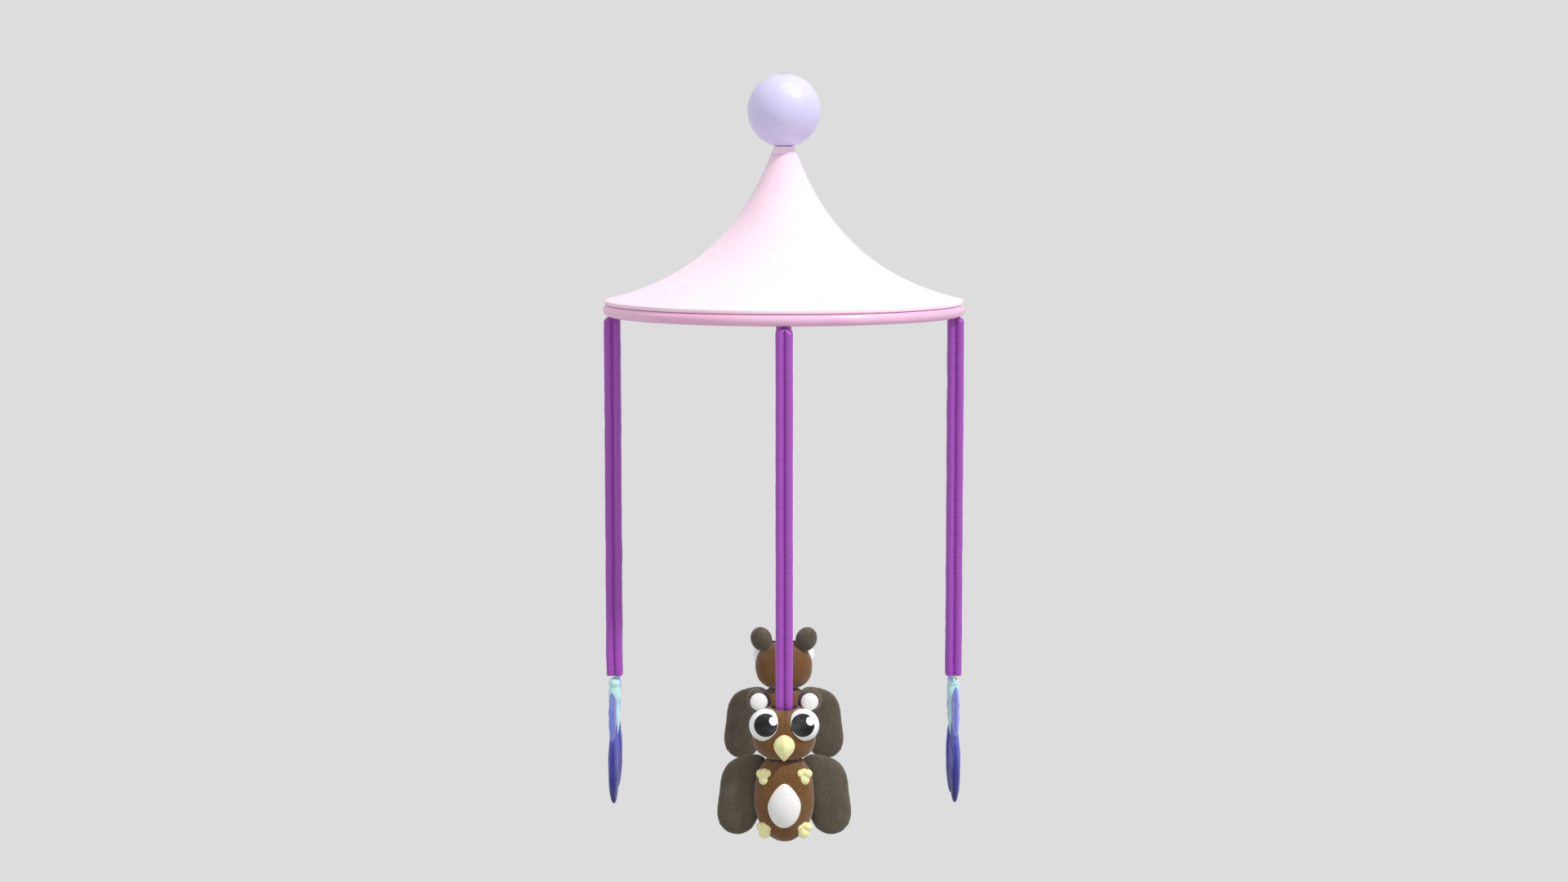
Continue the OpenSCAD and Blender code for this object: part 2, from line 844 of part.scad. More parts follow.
module butterfly_body() {
    color(MINT) difference() {
        leaning() {
            translate([0, 0, bug_head_z]) sphere(d = bug_head_d);
            translate([0, 0, chest_z]) egg([chest_w, chest_w, chest_l]);
            translate([0, 0, bug_zc]) egg([bug_w, bug_w, bug_l]);
        }
        stem_hole(bug_anchor_z, bug_anchor_r);
    }
}

module feeler() {
    translate([feeler_x, 0, feeler_z]) rotate([90, 0, 0]) rotate([0, 0, feeler_from]) {
        rotate_extrude(angle = feeler_turn) translate([feeler_bend, 0]) circle(r = feeler_r);
        translate([feeler_bend, 0, 0]) sphere(r = knob_r);
    }
}

module butterfly_antennae() {
    color(MINT) leaning() both_sides() feeler();
}

module butterfly_forewings() {
    color(BLUE) leaning() both_sides() padded_wing(fore_x, fore_z, fore_r, pad_scale);
}

module butterfly_hindwings() {
    color(NAVY) leaning() both_sides() padded_wing(hind_x, hind_z, hind_r, pad_scale);
}

module butterfly(k, part) {
    at_strap_end(k) {
        if (part == "body") butterfly_body();
        if (part == "antennae") butterfly_antennae();
        if (part == "forewings") butterfly_forewings();
        if (part == "hindwings") butterfly_hindwings();
        if (part == "stem") stem(bug_anchor_z, bug_anchor_r);
    }
}

ball_upper_shell();
ball_lower_shell();
arm_socket();
bearing_outer_race();
bearing_inner_race();
bearing_balls();
bearing_cage();
spindle();
spindle_clip();
spindle_nut();
neck_collar();
canopy_shell();
canopy_cover();
rim_ring();
rim_screws();
hanger_pins();
for (k = [0:3]) {
    hanger_ring(k);
    strap(k);
    end_plug(k);
}
for (k = [0, 2]) for (part = OWL_PARTS)
    owl(k, part);
for (k = [1, 3]) for (part = BUG_PARTS)
    butterfly(k, part);
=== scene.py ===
"""Looks of a hanging crib mobile: ball swivel, tent canopy, padded straps, stuffed owls and butterflies.

Every length inside the makers is in millimetres, in a hanging place's own axes: x runs along the rim,
-y points outwards and z = 0 is the end of the strap. Meshes are written in metres in the shared frame.
"""

import json
import logging
from dataclasses import dataclass, field
from enum import Enum
from math import asin, atan2, copysign, cos, exp, hypot, pi, radians, sin, sqrt, tanh, tau
from typing import Callable, ClassVar, Iterable, Sequence

import bmesh
import bpy
from mathutils import Matrix, Vector, geometry, noise
from mathutils.bvhtree import BVHTree

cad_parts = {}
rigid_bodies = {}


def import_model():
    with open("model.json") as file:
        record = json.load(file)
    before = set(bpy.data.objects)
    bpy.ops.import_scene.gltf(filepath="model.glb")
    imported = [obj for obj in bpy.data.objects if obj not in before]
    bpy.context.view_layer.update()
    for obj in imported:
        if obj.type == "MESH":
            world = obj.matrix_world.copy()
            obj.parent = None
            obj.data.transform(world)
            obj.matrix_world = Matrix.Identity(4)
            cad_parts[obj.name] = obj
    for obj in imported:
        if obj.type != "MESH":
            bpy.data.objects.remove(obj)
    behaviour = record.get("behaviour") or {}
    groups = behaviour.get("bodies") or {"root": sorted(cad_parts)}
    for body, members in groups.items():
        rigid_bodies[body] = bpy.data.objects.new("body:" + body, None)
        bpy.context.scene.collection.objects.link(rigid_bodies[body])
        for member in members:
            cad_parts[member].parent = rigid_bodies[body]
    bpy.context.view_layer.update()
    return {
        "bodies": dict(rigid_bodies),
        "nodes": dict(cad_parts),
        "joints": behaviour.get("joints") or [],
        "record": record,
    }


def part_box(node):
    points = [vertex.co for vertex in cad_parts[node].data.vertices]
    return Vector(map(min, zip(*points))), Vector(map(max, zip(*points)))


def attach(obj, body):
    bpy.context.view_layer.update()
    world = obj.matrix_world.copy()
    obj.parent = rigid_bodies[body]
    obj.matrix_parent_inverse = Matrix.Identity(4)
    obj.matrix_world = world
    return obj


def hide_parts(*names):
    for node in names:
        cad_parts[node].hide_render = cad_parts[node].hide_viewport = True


log = logging.getLogger("crib_mobile")
MM = 0.001
Point = Sequence[float]
Colour = tuple[float, float, float]
Socket = bpy.types.NodeSocket
Surface = tuple[dict, Socket, float]


# ---------------------------------------------------------------- shader building


class Tree:
    """A node tree with short words for adding nodes and joining their sockets."""

    def __init__(self, tree: bpy.types.NodeTree) -> None:
        """Empties the tree and keeps it."""
        self.tree = tree
        tree.nodes.clear()

    def add(self, kind: str, inputs: dict | None = None, **settings: object) -> bpy.types.Node:
        """Adds one node.

        Args:
            kind: the node's type without its "ShaderNode" prefix.
            inputs: a value or a socket for each input, by name or by number.
            settings: properties of the node itself.

        Returns:
            The new node.
        """
        prefix = "" if kind.startswith("Node") else "ShaderNode"
        node = self.tree.nodes.new(prefix + kind)
        for key, value in settings.items():
            setattr(node, key, value)
        for key, value in (inputs or {}).items():
            socket = node.inputs[key]
            if isinstance(value, bpy.types.NodeSocket):
                self.tree.links.new(value, socket)
            elif socket.type == "RGBA" and len(value) == 3:
                socket.default_value = (*value, 1.0)
            else:
                socket.default_value = value
        return node

    def maths(self, operation: str, *values: float | Socket, clamp: bool = False) -> Socket:
        """Adds a Math node."""
        return self.add("Math", dict(enumerate(values)), operation=operation, use_clamp=clamp).outputs[0]

    def blend(self, share: float | Socket, a: Colour | Socket, b: Colour | Socket, how: str = "MIX") -> Socket:
        """Mixes two colours."""
        return self.add("Mix", {0: share, 6: a, 7: b}, data_type="RGBA", blend_type=how).outputs[2]

    def spot(self) -> Socket:
        """The place on the piece, in metres."""
        return self.add("TexCoord").outputs["Object"]

    def noise(self, spot: Socket, scale: float | Socket, detail: float, **more: float) -> Socket:
        """Adds a noise texture."""
        return self.add("TexNoise", {"Vector": spot, "Scale": scale, "Detail": detail} | more).outputs[0]

    def ramp(self, value: Socket, low: float, high: float) -> Socket:
        """Spreads a value so that low becomes 0 and high becomes 1, smoothly."""
        node = self.add("MapRange", {0: value, 1: low, 2: high}, interpolation_type="SMOOTHSTEP")
        return node.outputs[0]


class Group:
    """A shader node group that is built once and placed in many materials."""

    def __init__(self, name: str, inputs: dict[str, float | Colour], outputs: dict[str, str]) -> None:
        """Makes an empty group.

        Args:
            name: the group's name.
            inputs: each input's name and default; three numbers make a colour input.
            outputs: each output's name and socket type.
        """
        self.group = bpy.data.node_groups.new(name, "ShaderNodeTree")
        for key, value in inputs.items():
            kind = "NodeSocketColor" if isinstance(value, tuple) else "NodeSocketFloat"
            socket = self.group.interface.new_socket(key, in_out="INPUT", socket_type=kind)
            socket.default_value = (*value, 1.0) if isinstance(value, tuple) else value
        for key, kind in outputs.items():
            self.group.interface.new_socket(key, in_out="OUTPUT", socket_type=kind)
        self.tree = Tree(self.group)
        self.source = self.tree.add("NodeGroupInput").outputs

    def close(self, **results: Socket) -> bpy.types.NodeTree:
        """Joins the results to the group's outputs."""
        self.tree.add("NodeGroupOutput", {key.replace("_", " "): value for key, value in results.items()})
        return self.group


def pile_group() -> bpy.types.NodeTree:
    """Short brushed fibres: a colour with lighter tips and worn patches, painted shade where the pile is low, and
    a fine height.
    """
    g = Group("fibre pile", {"Colour": (0.5, 0.5, 0.5), "Tip": (0.7, 0.7, 0.7), "Scale": 900.0, "Patches": 0.35},
              {"Colour": "NodeSocketColor", "Height": "NodeSocketFloat"})
    t, spot = g.tree, g.tree.spot()
    fine = t.noise(spot, g.source["Scale"], 5.0, Roughness=0.7)
    combed = t.add("Mapping", {"Vector": spot, "Scale": (1.0, 1.0, 0.35)}).outputs[0]
    strands = t.noise(combed, g.source["Scale"], 3.0, Distortion=1.4)
    tips = t.ramp(strands, 0.48, 0.72)
    worn = t.maths("MULTIPLY", t.ramp(t.noise(spot, 60.0, 4.0, Roughness=0.6), 0.40, 0.66), g.source["Patches"])
    shade = t.blend(t.maths("MULTIPLY", tips, 0.55), g.source["Colour"], g.source["Tip"])
    shade = t.blend(worn, shade, g.source["Tip"])
    # Painted shade: the colour is darkened by up to a fifth where the pile's fine height is low.
    hollow = t.ramp(fine, 0.30, 0.52)
    shade = t.blend(t.maths("MULTIPLY_ADD", hollow, 0.20, 0.80), (0.0, 0.0, 0.0), shade)
    height = t.maths("ADD", t.maths("MULTIPLY", fine, 0.6), t.maths("MULTIPLY", strands, 0.4))
    return g.close(Colour=shade, Height=height)


def weave_group() -> bpy.types.NodeTree:
    """Crossing threads round an upright axis: a mask of the raised thread and a height."""
    g = Group("woven threads", {"Across": 3000.0, "Along": 3000.0, "Slubs": 0.3},
              {"Mask": "NodeSocketFloat", "Height": "NodeSocketFloat"})
    t, spot = g.tree, g.tree.spot()
    axes = t.add("SeparateXYZ", {0: spot}).outputs
    slub = t.noise(spot, 240.0, 3.0)
    sway = t.maths("MULTIPLY", t.maths("SUBTRACT", slub, 0.5), g.source["Slubs"])
    side = t.maths("ADD", axes[0], axes[1])
    warp = t.maths("SINE", t.maths("ADD", t.maths("MULTIPLY", side, g.source["Across"]), sway))
    weft = t.maths("SINE", t.maths("ADD", t.maths("MULTIPLY", axes[2], g.source["Along"]), sway))
    crossing = t.maths("MULTIPLY_ADD", t.maths("MULTIPLY", warp, weft), 0.5, 0.5)
    height = t.maths("ADD", t.maths("MULTIPLY", crossing, 0.7), t.maths("MULTIPLY", slub, 0.6))
    return g.close(Mask=crossing, Height=height)


def mould_group() -> bpy.types.NodeTree:
    """A moulding's skin: faint flow in its colour, handling marks in its gloss and a slight peel."""
    g = Group("moulded skin", {"Colour": (0.5, 0.5, 0.5), "Roughness": 0.3, "Marks": 0.3},
              {"Colour": "NodeSocketColor", "Roughness": "NodeSocketFloat", "Height": "NodeSocketFloat"})
    t, spot = g.tree, g.tree.spot()
    flow = t.noise(spot, 14.0, 3.0, Distortion=0.8)
    peel = t.noise(spot, 620.0, 2.0)
    smear = t.noise(spot, 55.0, 6.0, Roughness=0.65)
    shade = t.blend(t.maths("MULTIPLY", t.ramp(flow, 0.35, 0.7), 0.10), g.source["Colour"], (1.0, 1.0, 1.0))
    marks = t.maths("MULTIPLY", t.ramp(smear, 0.5, 0.75), g.source["Marks"])
    gloss = t.maths("MULTIPLY_ADD", marks, 0.35, g.source["Roughness"])
    return g.close(Colour=shade, Roughness=gloss, Height=peel)


def wear_group() -> bpy.types.NodeTree:
    """Rubbed edges: a mask that is high along convex edges, broken up by noise."""
    g = Group("edge wear", {"Amount": 0.5}, {"Mask": "NodeSocketFloat"})
    t = g.tree
    edge = t.ramp(t.add("NewGeometry").outputs["Pointiness"], 0.52, 0.60)
    mask = t.maths("MULTIPLY", edge, t.ramp(t.noise(t.spot(), 320.0, 5.0), 0.38, 0.62))
    return g.close(Mask=t.maths("MULTIPLY", mask, g.source["Amount"]))


def dust_group() -> bpy.types.NodeTree:
    """Fine dust that settles on what faces up: a mask."""
    g = Group("settled dust", {"Amount": 0.2}, {"Mask": "NodeSocketFloat"})
    t = g.tree
    up = t.ramp(t.add("SeparateXYZ", {0: t.add("NewGeometry").outputs["Normal"]}).outputs[2], 0.15, 0.95)
    mask = t.maths("MULTIPLY", up, t.ramp(t.noise(t.spot(), 190.0, 7.0), 0.35, 0.75))
    return g.close(Mask=t.maths("MULTIPLY", mask, g.source["Amount"]))


class Effects:
    """The shared shader groups, each built the first time that it is asked for."""

    _makers: dict[str, Callable[[], bpy.types.NodeTree]] = {
        "pile": pile_group, "weave": weave_group, "mould": mould_group, "wear": wear_group, "dust": dust_group}
    _made: dict[str, bpy.types.NodeTree] = {}

    @classmethod
    def place(cls, t: Tree, effect: str, **inputs: float | Colour | Socket) -> bpy.types.Node:
        """Places a shared group in a material.

        Args:
            t: the material's tree.
            effect: the effect's short name.
            inputs: a value or a socket for each of the group's inputs.

        Returns:
            The group node.
        """
        if effect not in cls._made:
            cls._made[effect] = cls._makers[effect]()
        return t.add("Group", inputs, node_tree=cls._made[effect])


# ---------------------------------------------------------------- finishes


@dataclass(frozen=True)
class Finish:
    """What every finish has: a name and a colour."""

    name: str
    colour: Colour

    def build(self) -> bpy.types.Material:
        """Makes the material: the finish's own surface under a bump."""
        material = bpy.data.materials.new(self.name)
        material.use_nodes = True
        material.diffuse_color = (*self.colour, 1.0)
        t = Tree(material.node_tree)
        inputs, height, depth = self.surface(t)
        bump = t.add("Bump", {"Height": height, "Distance": depth * MM, "Strength": 1.0})
        shader = t.add("BsdfPrincipled", inputs | {"Normal": bump.outputs[0]})
        t.add("OutputMaterial", {"Surface": shader.outputs[0]})
        return material

    def surface(self, t: Tree) -> Surface:
        """Works out the surface in a material's tree."""
        raise NotImplementedError

    @staticmethod
    def dusty(t: Tree, amount: float, shade: Socket, dust: Colour) -> Socket:
        """A colour with settled dust on it."""
        return t.blend(Effects.place(t, "dust", Amount=amount).outputs[0], shade, dust)


@dataclass(frozen=True)
class Plush(Finish):
    """Short brushed pile, as on felt and plush toys, whose colour may darken down its height as painted shade."""

    tip: Colour = (1.0, 1.0, 1.0)
    # Painted shade: a darker colour that the pile turns to, from one height down to a lower one.
    shade_below: Colour | None = None
    shade_from: float = 0.0
    shade_to: float = -1.0
    scale: float = 900.0
    depth: float = 0.35
    sheen: float = 0.35

    def surface(self, t: Tree) -> Surface:
        """The finish's surface."""
        base: Colour | Socket = self.colour
        # Painted shade: darker towards the bottom of the piece, by height.
        if self.shade_below is not None:
            spot = t.spot()
            upwards = t.add("SeparateXYZ", {0: spot}).outputs[2]
            level = t.maths("MULTIPLY_ADD", t.noise(spot, 45.0, 3.0), 0.012, upwards)
            base = t.blend(t.ramp(level, self.shade_to, self.shade_from), self.shade_below, self.colour)
        pile = Effects.place(t, "pile", Colour=base, Tip=self.tip, Scale=self.scale, Patches=0.18)
        shade = self.dusty(t, 0.10, pile.outputs["Colour"], (0.72, 0.70, 0.67))
        inputs = {"Base Color": shade, "Roughness": 0.92, "Sheen Weight": self.sheen, "Sheen Roughness": 0.45,
                  "Specular IOR Level": 0.2}
        return inputs, pile.outputs["Height"], self.depth


@dataclass(frozen=True)
class Satin(Finish):
    """Glossy woven ribbon cloth, painted lighter on its raised threads as a painted highlight."""

    light: Colour = (1.0, 1.0, 1.0)

    def surface(self, t: Tree) -> Surface:
        """The finish's surface."""
        weave = Effects.place(t, "weave", Across=9000.0, Along=2600.0, Slubs=2.5)
        # Painted highlight: the raised threads are mixed towards the lighter colour.
        shade = t.blend(t.maths("MULTIPLY", weave.outputs["Mask"], 0.30), self.colour, self.light)
        shade = self.dusty(t, 0.12, shade, (0.75, 0.68, 0.76))
        gloss = t.maths("MULTIPLY_ADD", weave.outputs["Mask"], 0.12, 0.34)
        inputs = {"Base Color": shade, "Roughness": gloss, "Sheen Weight": 0.25, "Sheen Roughness": 0.35,
                  "Specular IOR Level": 0.55}
        return inputs, weave.outputs["Height"], 0.05


@dataclass(frozen=True)
class Jersey(Finish):
    """Smooth stretched knit with fine ribs, painted lighter on its raised threads as a painted highlight."""

    def surface(self, t: Tree) -> Surface:
        """The finish's surface."""
        weave = Effects.place(t, "weave", Across=5200.0, Along=5200.0, Slubs=1.2)
        cloud = t.ramp(t.noise(t.spot(), 18.0, 4.0), 0.3, 0.75)
        shade = t.blend(t.maths("MULTIPLY", cloud, 0.16), self.colour, (1.0, 0.93, 0.97))
        # Painted highlight: the raised threads are mixed towards near-white.
        shade = t.blend(t.maths("MULTIPLY", weave.outputs["Mask"], 0.12), shade, (1.0, 0.96, 0.98))
        shade = self.dusty(t, 0.08, shade, (0.88, 0.84, 0.85))
        inputs = {"Base Color": shade, "Roughness": 0.78, "Sheen Weight": 0.25, "Sheen Roughness": 0.5,
                  "Specular IOR Level": 0.3}
        return inputs, weave.outputs["Height"], 0.06


@dataclass(frozen=True)
class Moulded(Finish):
    """Injection-moulded plastic."""

    roughness: float = 0.35
    coat: float = 0.0
    wear: float = 0.25
    peel: float = 0.02
    shine: float = 0.5

    def surface(self, t: Tree) -> Surface:
        """The finish's surface."""
        skin = Effects.place(t, "mould", Colour=self.colour, Roughness=self.roughness, Marks=0.3)
        rubbed = Effects.place(t, "wear", Amount=self.wear).outputs[0]
        dust = Effects.place(t, "dust", Amount=0.07).outputs[0]
        pale = tuple(0.5 + 0.5 * c for c in self.colour)
        shade = t.blend(rubbed, skin.outputs["Colour"], pale)
        shade = t.blend(dust, shade, (0.80, 0.79, 0.78))
        gloss = t.maths("MULTIPLY_ADD", t.maths("ADD", rubbed, dust), 0.3, skin.outputs["Roughness"])
        inputs = {"Base Color": shade, "Roughness": gloss, "Coat Weight": self.coat, "Coat Roughness": 0.12,
                  "IOR": 1.49, "Specular IOR Level": self.shine}
        return inputs, skin.outputs["Height"], self.peel


class Lay(Enum):
    """Which way the fine marks run on a metal piece."""

    TURNED = (1.0, 1.0, 40.0)
    DRAWN = (40.0, 40.0, 1.0)
    PRESSED = (1.0, 1.0, 1.0)


@dataclass(frozen=True)
class Metal(Finish):
    """Bare or plated metal with fine tool marks."""

    roughness: float = 0.3
    lay: Lay = Lay.TURNED

    def surface(self, t: Tree) -> Surface:
        """The finish's surface."""
        spot = t.spot()
        marks = t.noise(t.add("Mapping", {"Vector": spot, "Scale": self.lay.value}).outputs[0], 160.0, 5.0)
        stain = t.ramp(t.noise(spot, 240.0, 5.0), 0.45, 0.75)
        rubbed = Effects.place(t, "wear", Amount=0.6).outputs[0]
        shade = t.blend(t.maths("MULTIPLY", stain, 0.25), self.colour, tuple(0.55 * c for c in self.colour))
        shade = t.blend(rubbed, shade, (0.92, 0.92, 0.93))
        gloss = t.maths("MULTIPLY_ADD", marks, 0.22, self.roughness - 0.08)
        return {"Base Color": shade, "Roughness": gloss, "Metallic": 1.0}, marks, 0.012


@dataclass(frozen=True)
class Thread(Finish):
    """Twisted sewing thread."""

    def surface(self, t: Tree) -> Surface:
        """The finish's surface."""
        twist = t.noise(t.spot(), 2600.0, 2.0)
        shade = t.blend(t.maths("MULTIPLY", twist, 0.5), self.colour, tuple(0.6 * c for c in self.colour))
        return {"Base Color": shade, "Roughness": 0.6, "Sheen Weight": 0.2}, twist, 0.05


FINISHES: tuple[Finish, ...] = (
    Moulded("ball_plastic", (0.60, 0.57, 0.85), roughness=0.30, coat=0.35, wear=0.1),
    Metal("socket_brass", (0.78, 0.58, 0.27), roughness=0.28),
    Metal("bearing_steel", (0.62, 0.63, 0.65), roughness=0.16),
    Metal("cage_brass", (0.74, 0.56, 0.28), roughness=0.30, lay=Lay.PRESSED),
    Metal("spindle_steel", (0.60, 0.61, 0.63), roughness=0.26),
    Metal("clip_steel", (0.16, 0.16, 0.17), roughness=0.40, lay=Lay.PRESSED),
    Moulded("collar_plastic", (0.96, 0.72, 0.85), roughness=0.5),
    Moulded("shell_plastic", (0.86, 0.85, 0.84), roughness=0.5, peel=0.05),
    Jersey("canopy_fabric", (0.90, 0.655, 0.785)),
    Moulded("rim_plastic", (0.80, 0.43, 0.64), roughness=0.38, coat=0.2),
    Metal("screw_steel", (0.62, 0.63, 0.65), roughness=0.24),
    Metal("ring_wire", (0.70, 0.71, 0.73), roughness=0.14, lay=Lay.PRESSED),
    Satin("strap_satin", (0.31, 0.045, 0.42), light=(0.52, 0.16, 0.66)),
    Moulded("plug_plastic", (0.80, 0.50, 0.68), roughness=0.45),
    Plush("brown_felt", (0.150, 0.068, 0.020), tip=(0.26, 0.13, 0.045)),
    Plush("wing_felt", (0.088, 0.070, 0.048), tip=(0.17, 0.145, 0.11)),
    Plush("white_felt", (0.84, 0.83, 0.81), tip=(0.95, 0.94, 0.93), sheen=0.2),
    Plush("cream_felt", (0.86, 0.83, 0.40), tip=(0.96, 0.94, 0.62), sheen=0.25),
    Moulded("eye_plastic", (0.88, 0.88, 0.88), roughness=0.16, coat=0.5, wear=0.0),
    Moulded("pupil_plastic", (0.004, 0.006, 0.007), roughness=0.10, coat=0.0, wear=0.0, shine=0.22),
    Plush("mint_plush", (0.50, 0.83, 0.80), tip=(0.74, 0.95, 0.92), scale=1100.0),
    # The wings' lower parts are painted darker: painted shade.
    Plush("blue_plush", (0.22, 0.26, 0.80), tip=(0.42, 0.47, 0.95), scale=1100.0,
          shade_below=(0.055, 0.055, 0.42), shade_from=-0.585, shade_to=-0.635),
    Plush("navy_plush", (0.060, 0.058, 0.44), tip=(0.12, 0.12, 0.60), scale=1100.0,
          shade_below=(0.018, 0.014, 0.10), shade_from=-0.600, shade_to=-0.668),
    Metal("stem_steel", (0.62, 0.63, 0.65), roughness=0.22, lay=Lay.DRAWN),
    Thread("purple_thread", (0.20, 0.03, 0.28)),
    Thread("brown_thread", (0.13, 0.075, 0.035)),
    Thread("white_thread", (0.70, 0.69, 0.67)),
    Thread("blue_thread", (0.50, 0.55, 0.98)),
    Thread("navy_thread", (0.16, 0.17, 0.62)),
    Thread("mint_thread", (0.30, 0.60, 0.58)),
    Thread("pink_thread", (0.90, 0.62, 0.78)),
)


class Paints:
    """The finishes by name, each made into a material the first time that it is used."""

    _by_name = {finish.name: finish for finish in FINISHES}
    _made: dict[str, bpy.types.Material] = {}

    @classmethod
    def get(cls, name: str) -> bpy.types.Material:
        """The material of that name."""
        if name not in cls._made:
            cls._made[name] = cls._by_name[name].build()
        return cls._made[name]


# ---------------------------------------------------------------- mesh building


@dataclass
class Shape:
    """A mesh in the making: points in millimetres and faces that number them."""

    points: list[Vector] = field(default_factory=list)
    faces: list[tuple[int, ...]] = field(default_factory=list)

    def add(self, other: "Shape") -> "Shape":
        """Adds another shape's points and faces to this one."""
        first = len(self.points)
        self.points += [p.copy() for p in other.points]
        self.faces += [tuple(first + i for i in face) for face in other.faces]
        return self

    def moved(self, matrix: Matrix) -> "Shape":
        """A copy under a matrix, with its faces turned over if the matrix mirrors."""
        flips = matrix.determinant() < 0
        faces = [tuple(reversed(face)) if flips else face for face in self.faces]
        return Shape([matrix @ p for p in self.points], faces)

    def both_sides(self) -> "Shape":
        """This shape and its mirror image across x = 0."""
        return Shape().add(self).add(self.moved(Matrix.Scale(-1.0, 4, Vector((1.0, 0.0, 0.0)))))

    def bent(self, rule: Callable[[Vector], Vector]) -> "Shape":
        """A copy with every point put through a rule."""
        return Shape([rule(p) for p in self.points], self.faces)

    def to_mesh(self, name: str, matrix: Matrix) -> bpy.types.Mesh:
        """Makes a Blender mesh.

        Args:
            name: the mesh's name.
            matrix: places the millimetre points in the frame, in metres.

        Returns:
            The mesh, with its faces looking outwards and shaded smooth.
        """
        mesh = bpy.data.meshes.new(name)
        mesh.from_pydata([matrix @ p for p in self.points], [], self.faces)
        work = bmesh.new()
        work.from_mesh(mesh)
        bmesh.ops.recalc_face_normals(work, faces=work.faces)
        work.to_mesh(mesh)
        work.free()
        mesh.polygons.foreach_set("use_smooth", [True] * len(mesh.polygons))
        return mesh


def put(name: str, data: bpy.types.ID) -> bpy.types.Object:
    """Puts a mesh, a light or a camera in the scene.

    Args:
        name: the new object's name.
        data: what it shows.

    Returns:
        The object.
    """
    thing = bpy.data.objects.new(name, data)
    bpy.context.scene.collection.objects.link(thing)
    return thing


def taken(thing: bpy.types.Object) -> Shape:
    """The shape that an object's modifiers give; the object is then removed.

    Args:
        thing: the object.

    Returns:
        The shape, in the object's own units.
    """
    done = thing.evaluated_get(bpy.context.evaluated_depsgraph_get())
    mesh = done.to_mesh()
    shape = Shape([v.co.copy() for v in mesh.vertices], [tuple(p.vertices) for p in mesh.polygons])
    done.to_mesh_clear()
    bpy.data.objects.remove(thing)
    return shape


def modified(shape: Shape, *modifiers: tuple[str, dict]) -> Shape:
    """A shape put through Blender's modifiers.

    Args:
        shape: the shape.
        modifiers: each modifier's type and its settings.

    Returns:
        The changed shape.
    """
    mesh = bpy.data.meshes.new("worked")
    mesh.from_pydata(shape.points, [], shape.faces)
    thing = put("worked", mesh)
    for kind, settings in modifiers:
        modifier = thing.modifiers.new(kind, kind)
        for key, value in settings.items():
            setattr(modifier, key, value)
    result = taken(thing)
    bpy.data.meshes.remove(mesh)
    return result


def unit(value: float) -> float:
    """A value kept from 0 to 1."""
    return min(max(value, 0.0), 1.0)


def bell(away: float, width: float) -> float:
    """A smooth bump: 1 at no distance, and next to nothing beyond twice the width."""
    return exp(-(away / width) ** 2)


def around(count: int) -> list[float]:
    """Even angles round a circle."""
    return [tau * i / count for i in range(count)]


def mass(size: Point, centre: Point = (0.0, 0.0, 0.0), detail: int = 5) -> Shape:
    """A plain egg of a size about a centre."""
    return ball_shape(lambda n: Vector([centre[i] + size[i] / 2 * n[i] for i in range(3)]), detail)


def ball_shape(rule: Callable[[Vector], Vector], detail: int = 5) -> Shape:
    """An even ball of triangles whose points are put through a rule.

    Args:
        rule: takes a direction of length 1 and gives a point in millimetres.
        detail: how often the ball's triangles are divided.

    Returns:
        The closed shape.
    """
    work = bmesh.new()
    bmesh.ops.create_icosphere(work, subdivisions=detail, radius=1.0)
    work.verts.ensure_lookup_table()
    faces = [tuple(v.index for v in f.verts) for f in work.faces]
    shape = Shape([rule(v.co.normalized()) for v in work.verts], faces)
    work.free()
    return shape


def loft(rings: Sequence[Sequence[Vector]], close_ends: bool = True, ring_closed: bool = False) -> Shape:
    """Joins closed rings of equal length into a skin.

    Args:
        rings: each ring's points.
        close_ends: whether the first and last rings are filled.
        ring_closed: whether the last ring is joined to the first, as on a hoop.

    Returns:
        The skin.
    """
    sides = len(rings[0])
    faces: list[tuple[int, ...]] = []
    for r in range(len(rings) if ring_closed else len(rings) - 1):
        low, high = r * sides, ((r + 1) % len(rings)) * sides
        for s in range(sides):
            e = (s + 1) % sides
            faces.append((low + s, low + e, high + e, high + s))
    if close_ends and not ring_closed:
        faces.append(tuple(reversed(range(sides))))
        faces.append(tuple(range((len(rings) - 1) * sides, len(rings) * sides)))
    return Shape([p.copy() for ring in rings for p in ring], faces)


def lathe(profile: Sequence[tuple[float, float]], segments: int = 160) -> Shape:
    """Turns a closed outline of (radius, height) about the upright axis."""
    rings = [[Vector((r * cos(a), r * sin(a), z)) for r, z in profile] for a in around(segments)]
    return loft(rings, ring_closed=True)


def tube(path: Sequence[Vector], radius: float | Callable[[float], float], sides: int = 10,
         closed: bool = False) -> Shape:
    """A round thread or wire along a path.

    Args:
        path: the points that it follows.
        radius: its radius, or a rule for it along the path's length from 0 to 1.
        sides: points round it.
        closed: whether the path is a loop.

    Returns:
        The tube, with rounded ends if it is open.
    """
    count = len(path)
    across = Vector((0.0, 0.0, 1.0))
    rings = []
    for i, spot in enumerate(path):
        ahead = path[(i + 1) % count] if closed or i < count - 1 else spot
        behind = path[i - 1] if closed or i > 0 else spot
        along = (ahead - behind).normalized()
        across = (across - across.dot(along) * along)
        if across.length < 1e-4:
            across = along.orthogonal()
        across.normalize()
        other = along.cross(across)
        r = radius(i / (count - 1)) if callable(radius) else radius
        rings.append([spot + r * (cos(a) * across + sin(a) * other) for a in around(sides)])
    return loft(rings, ring_closed=closed)


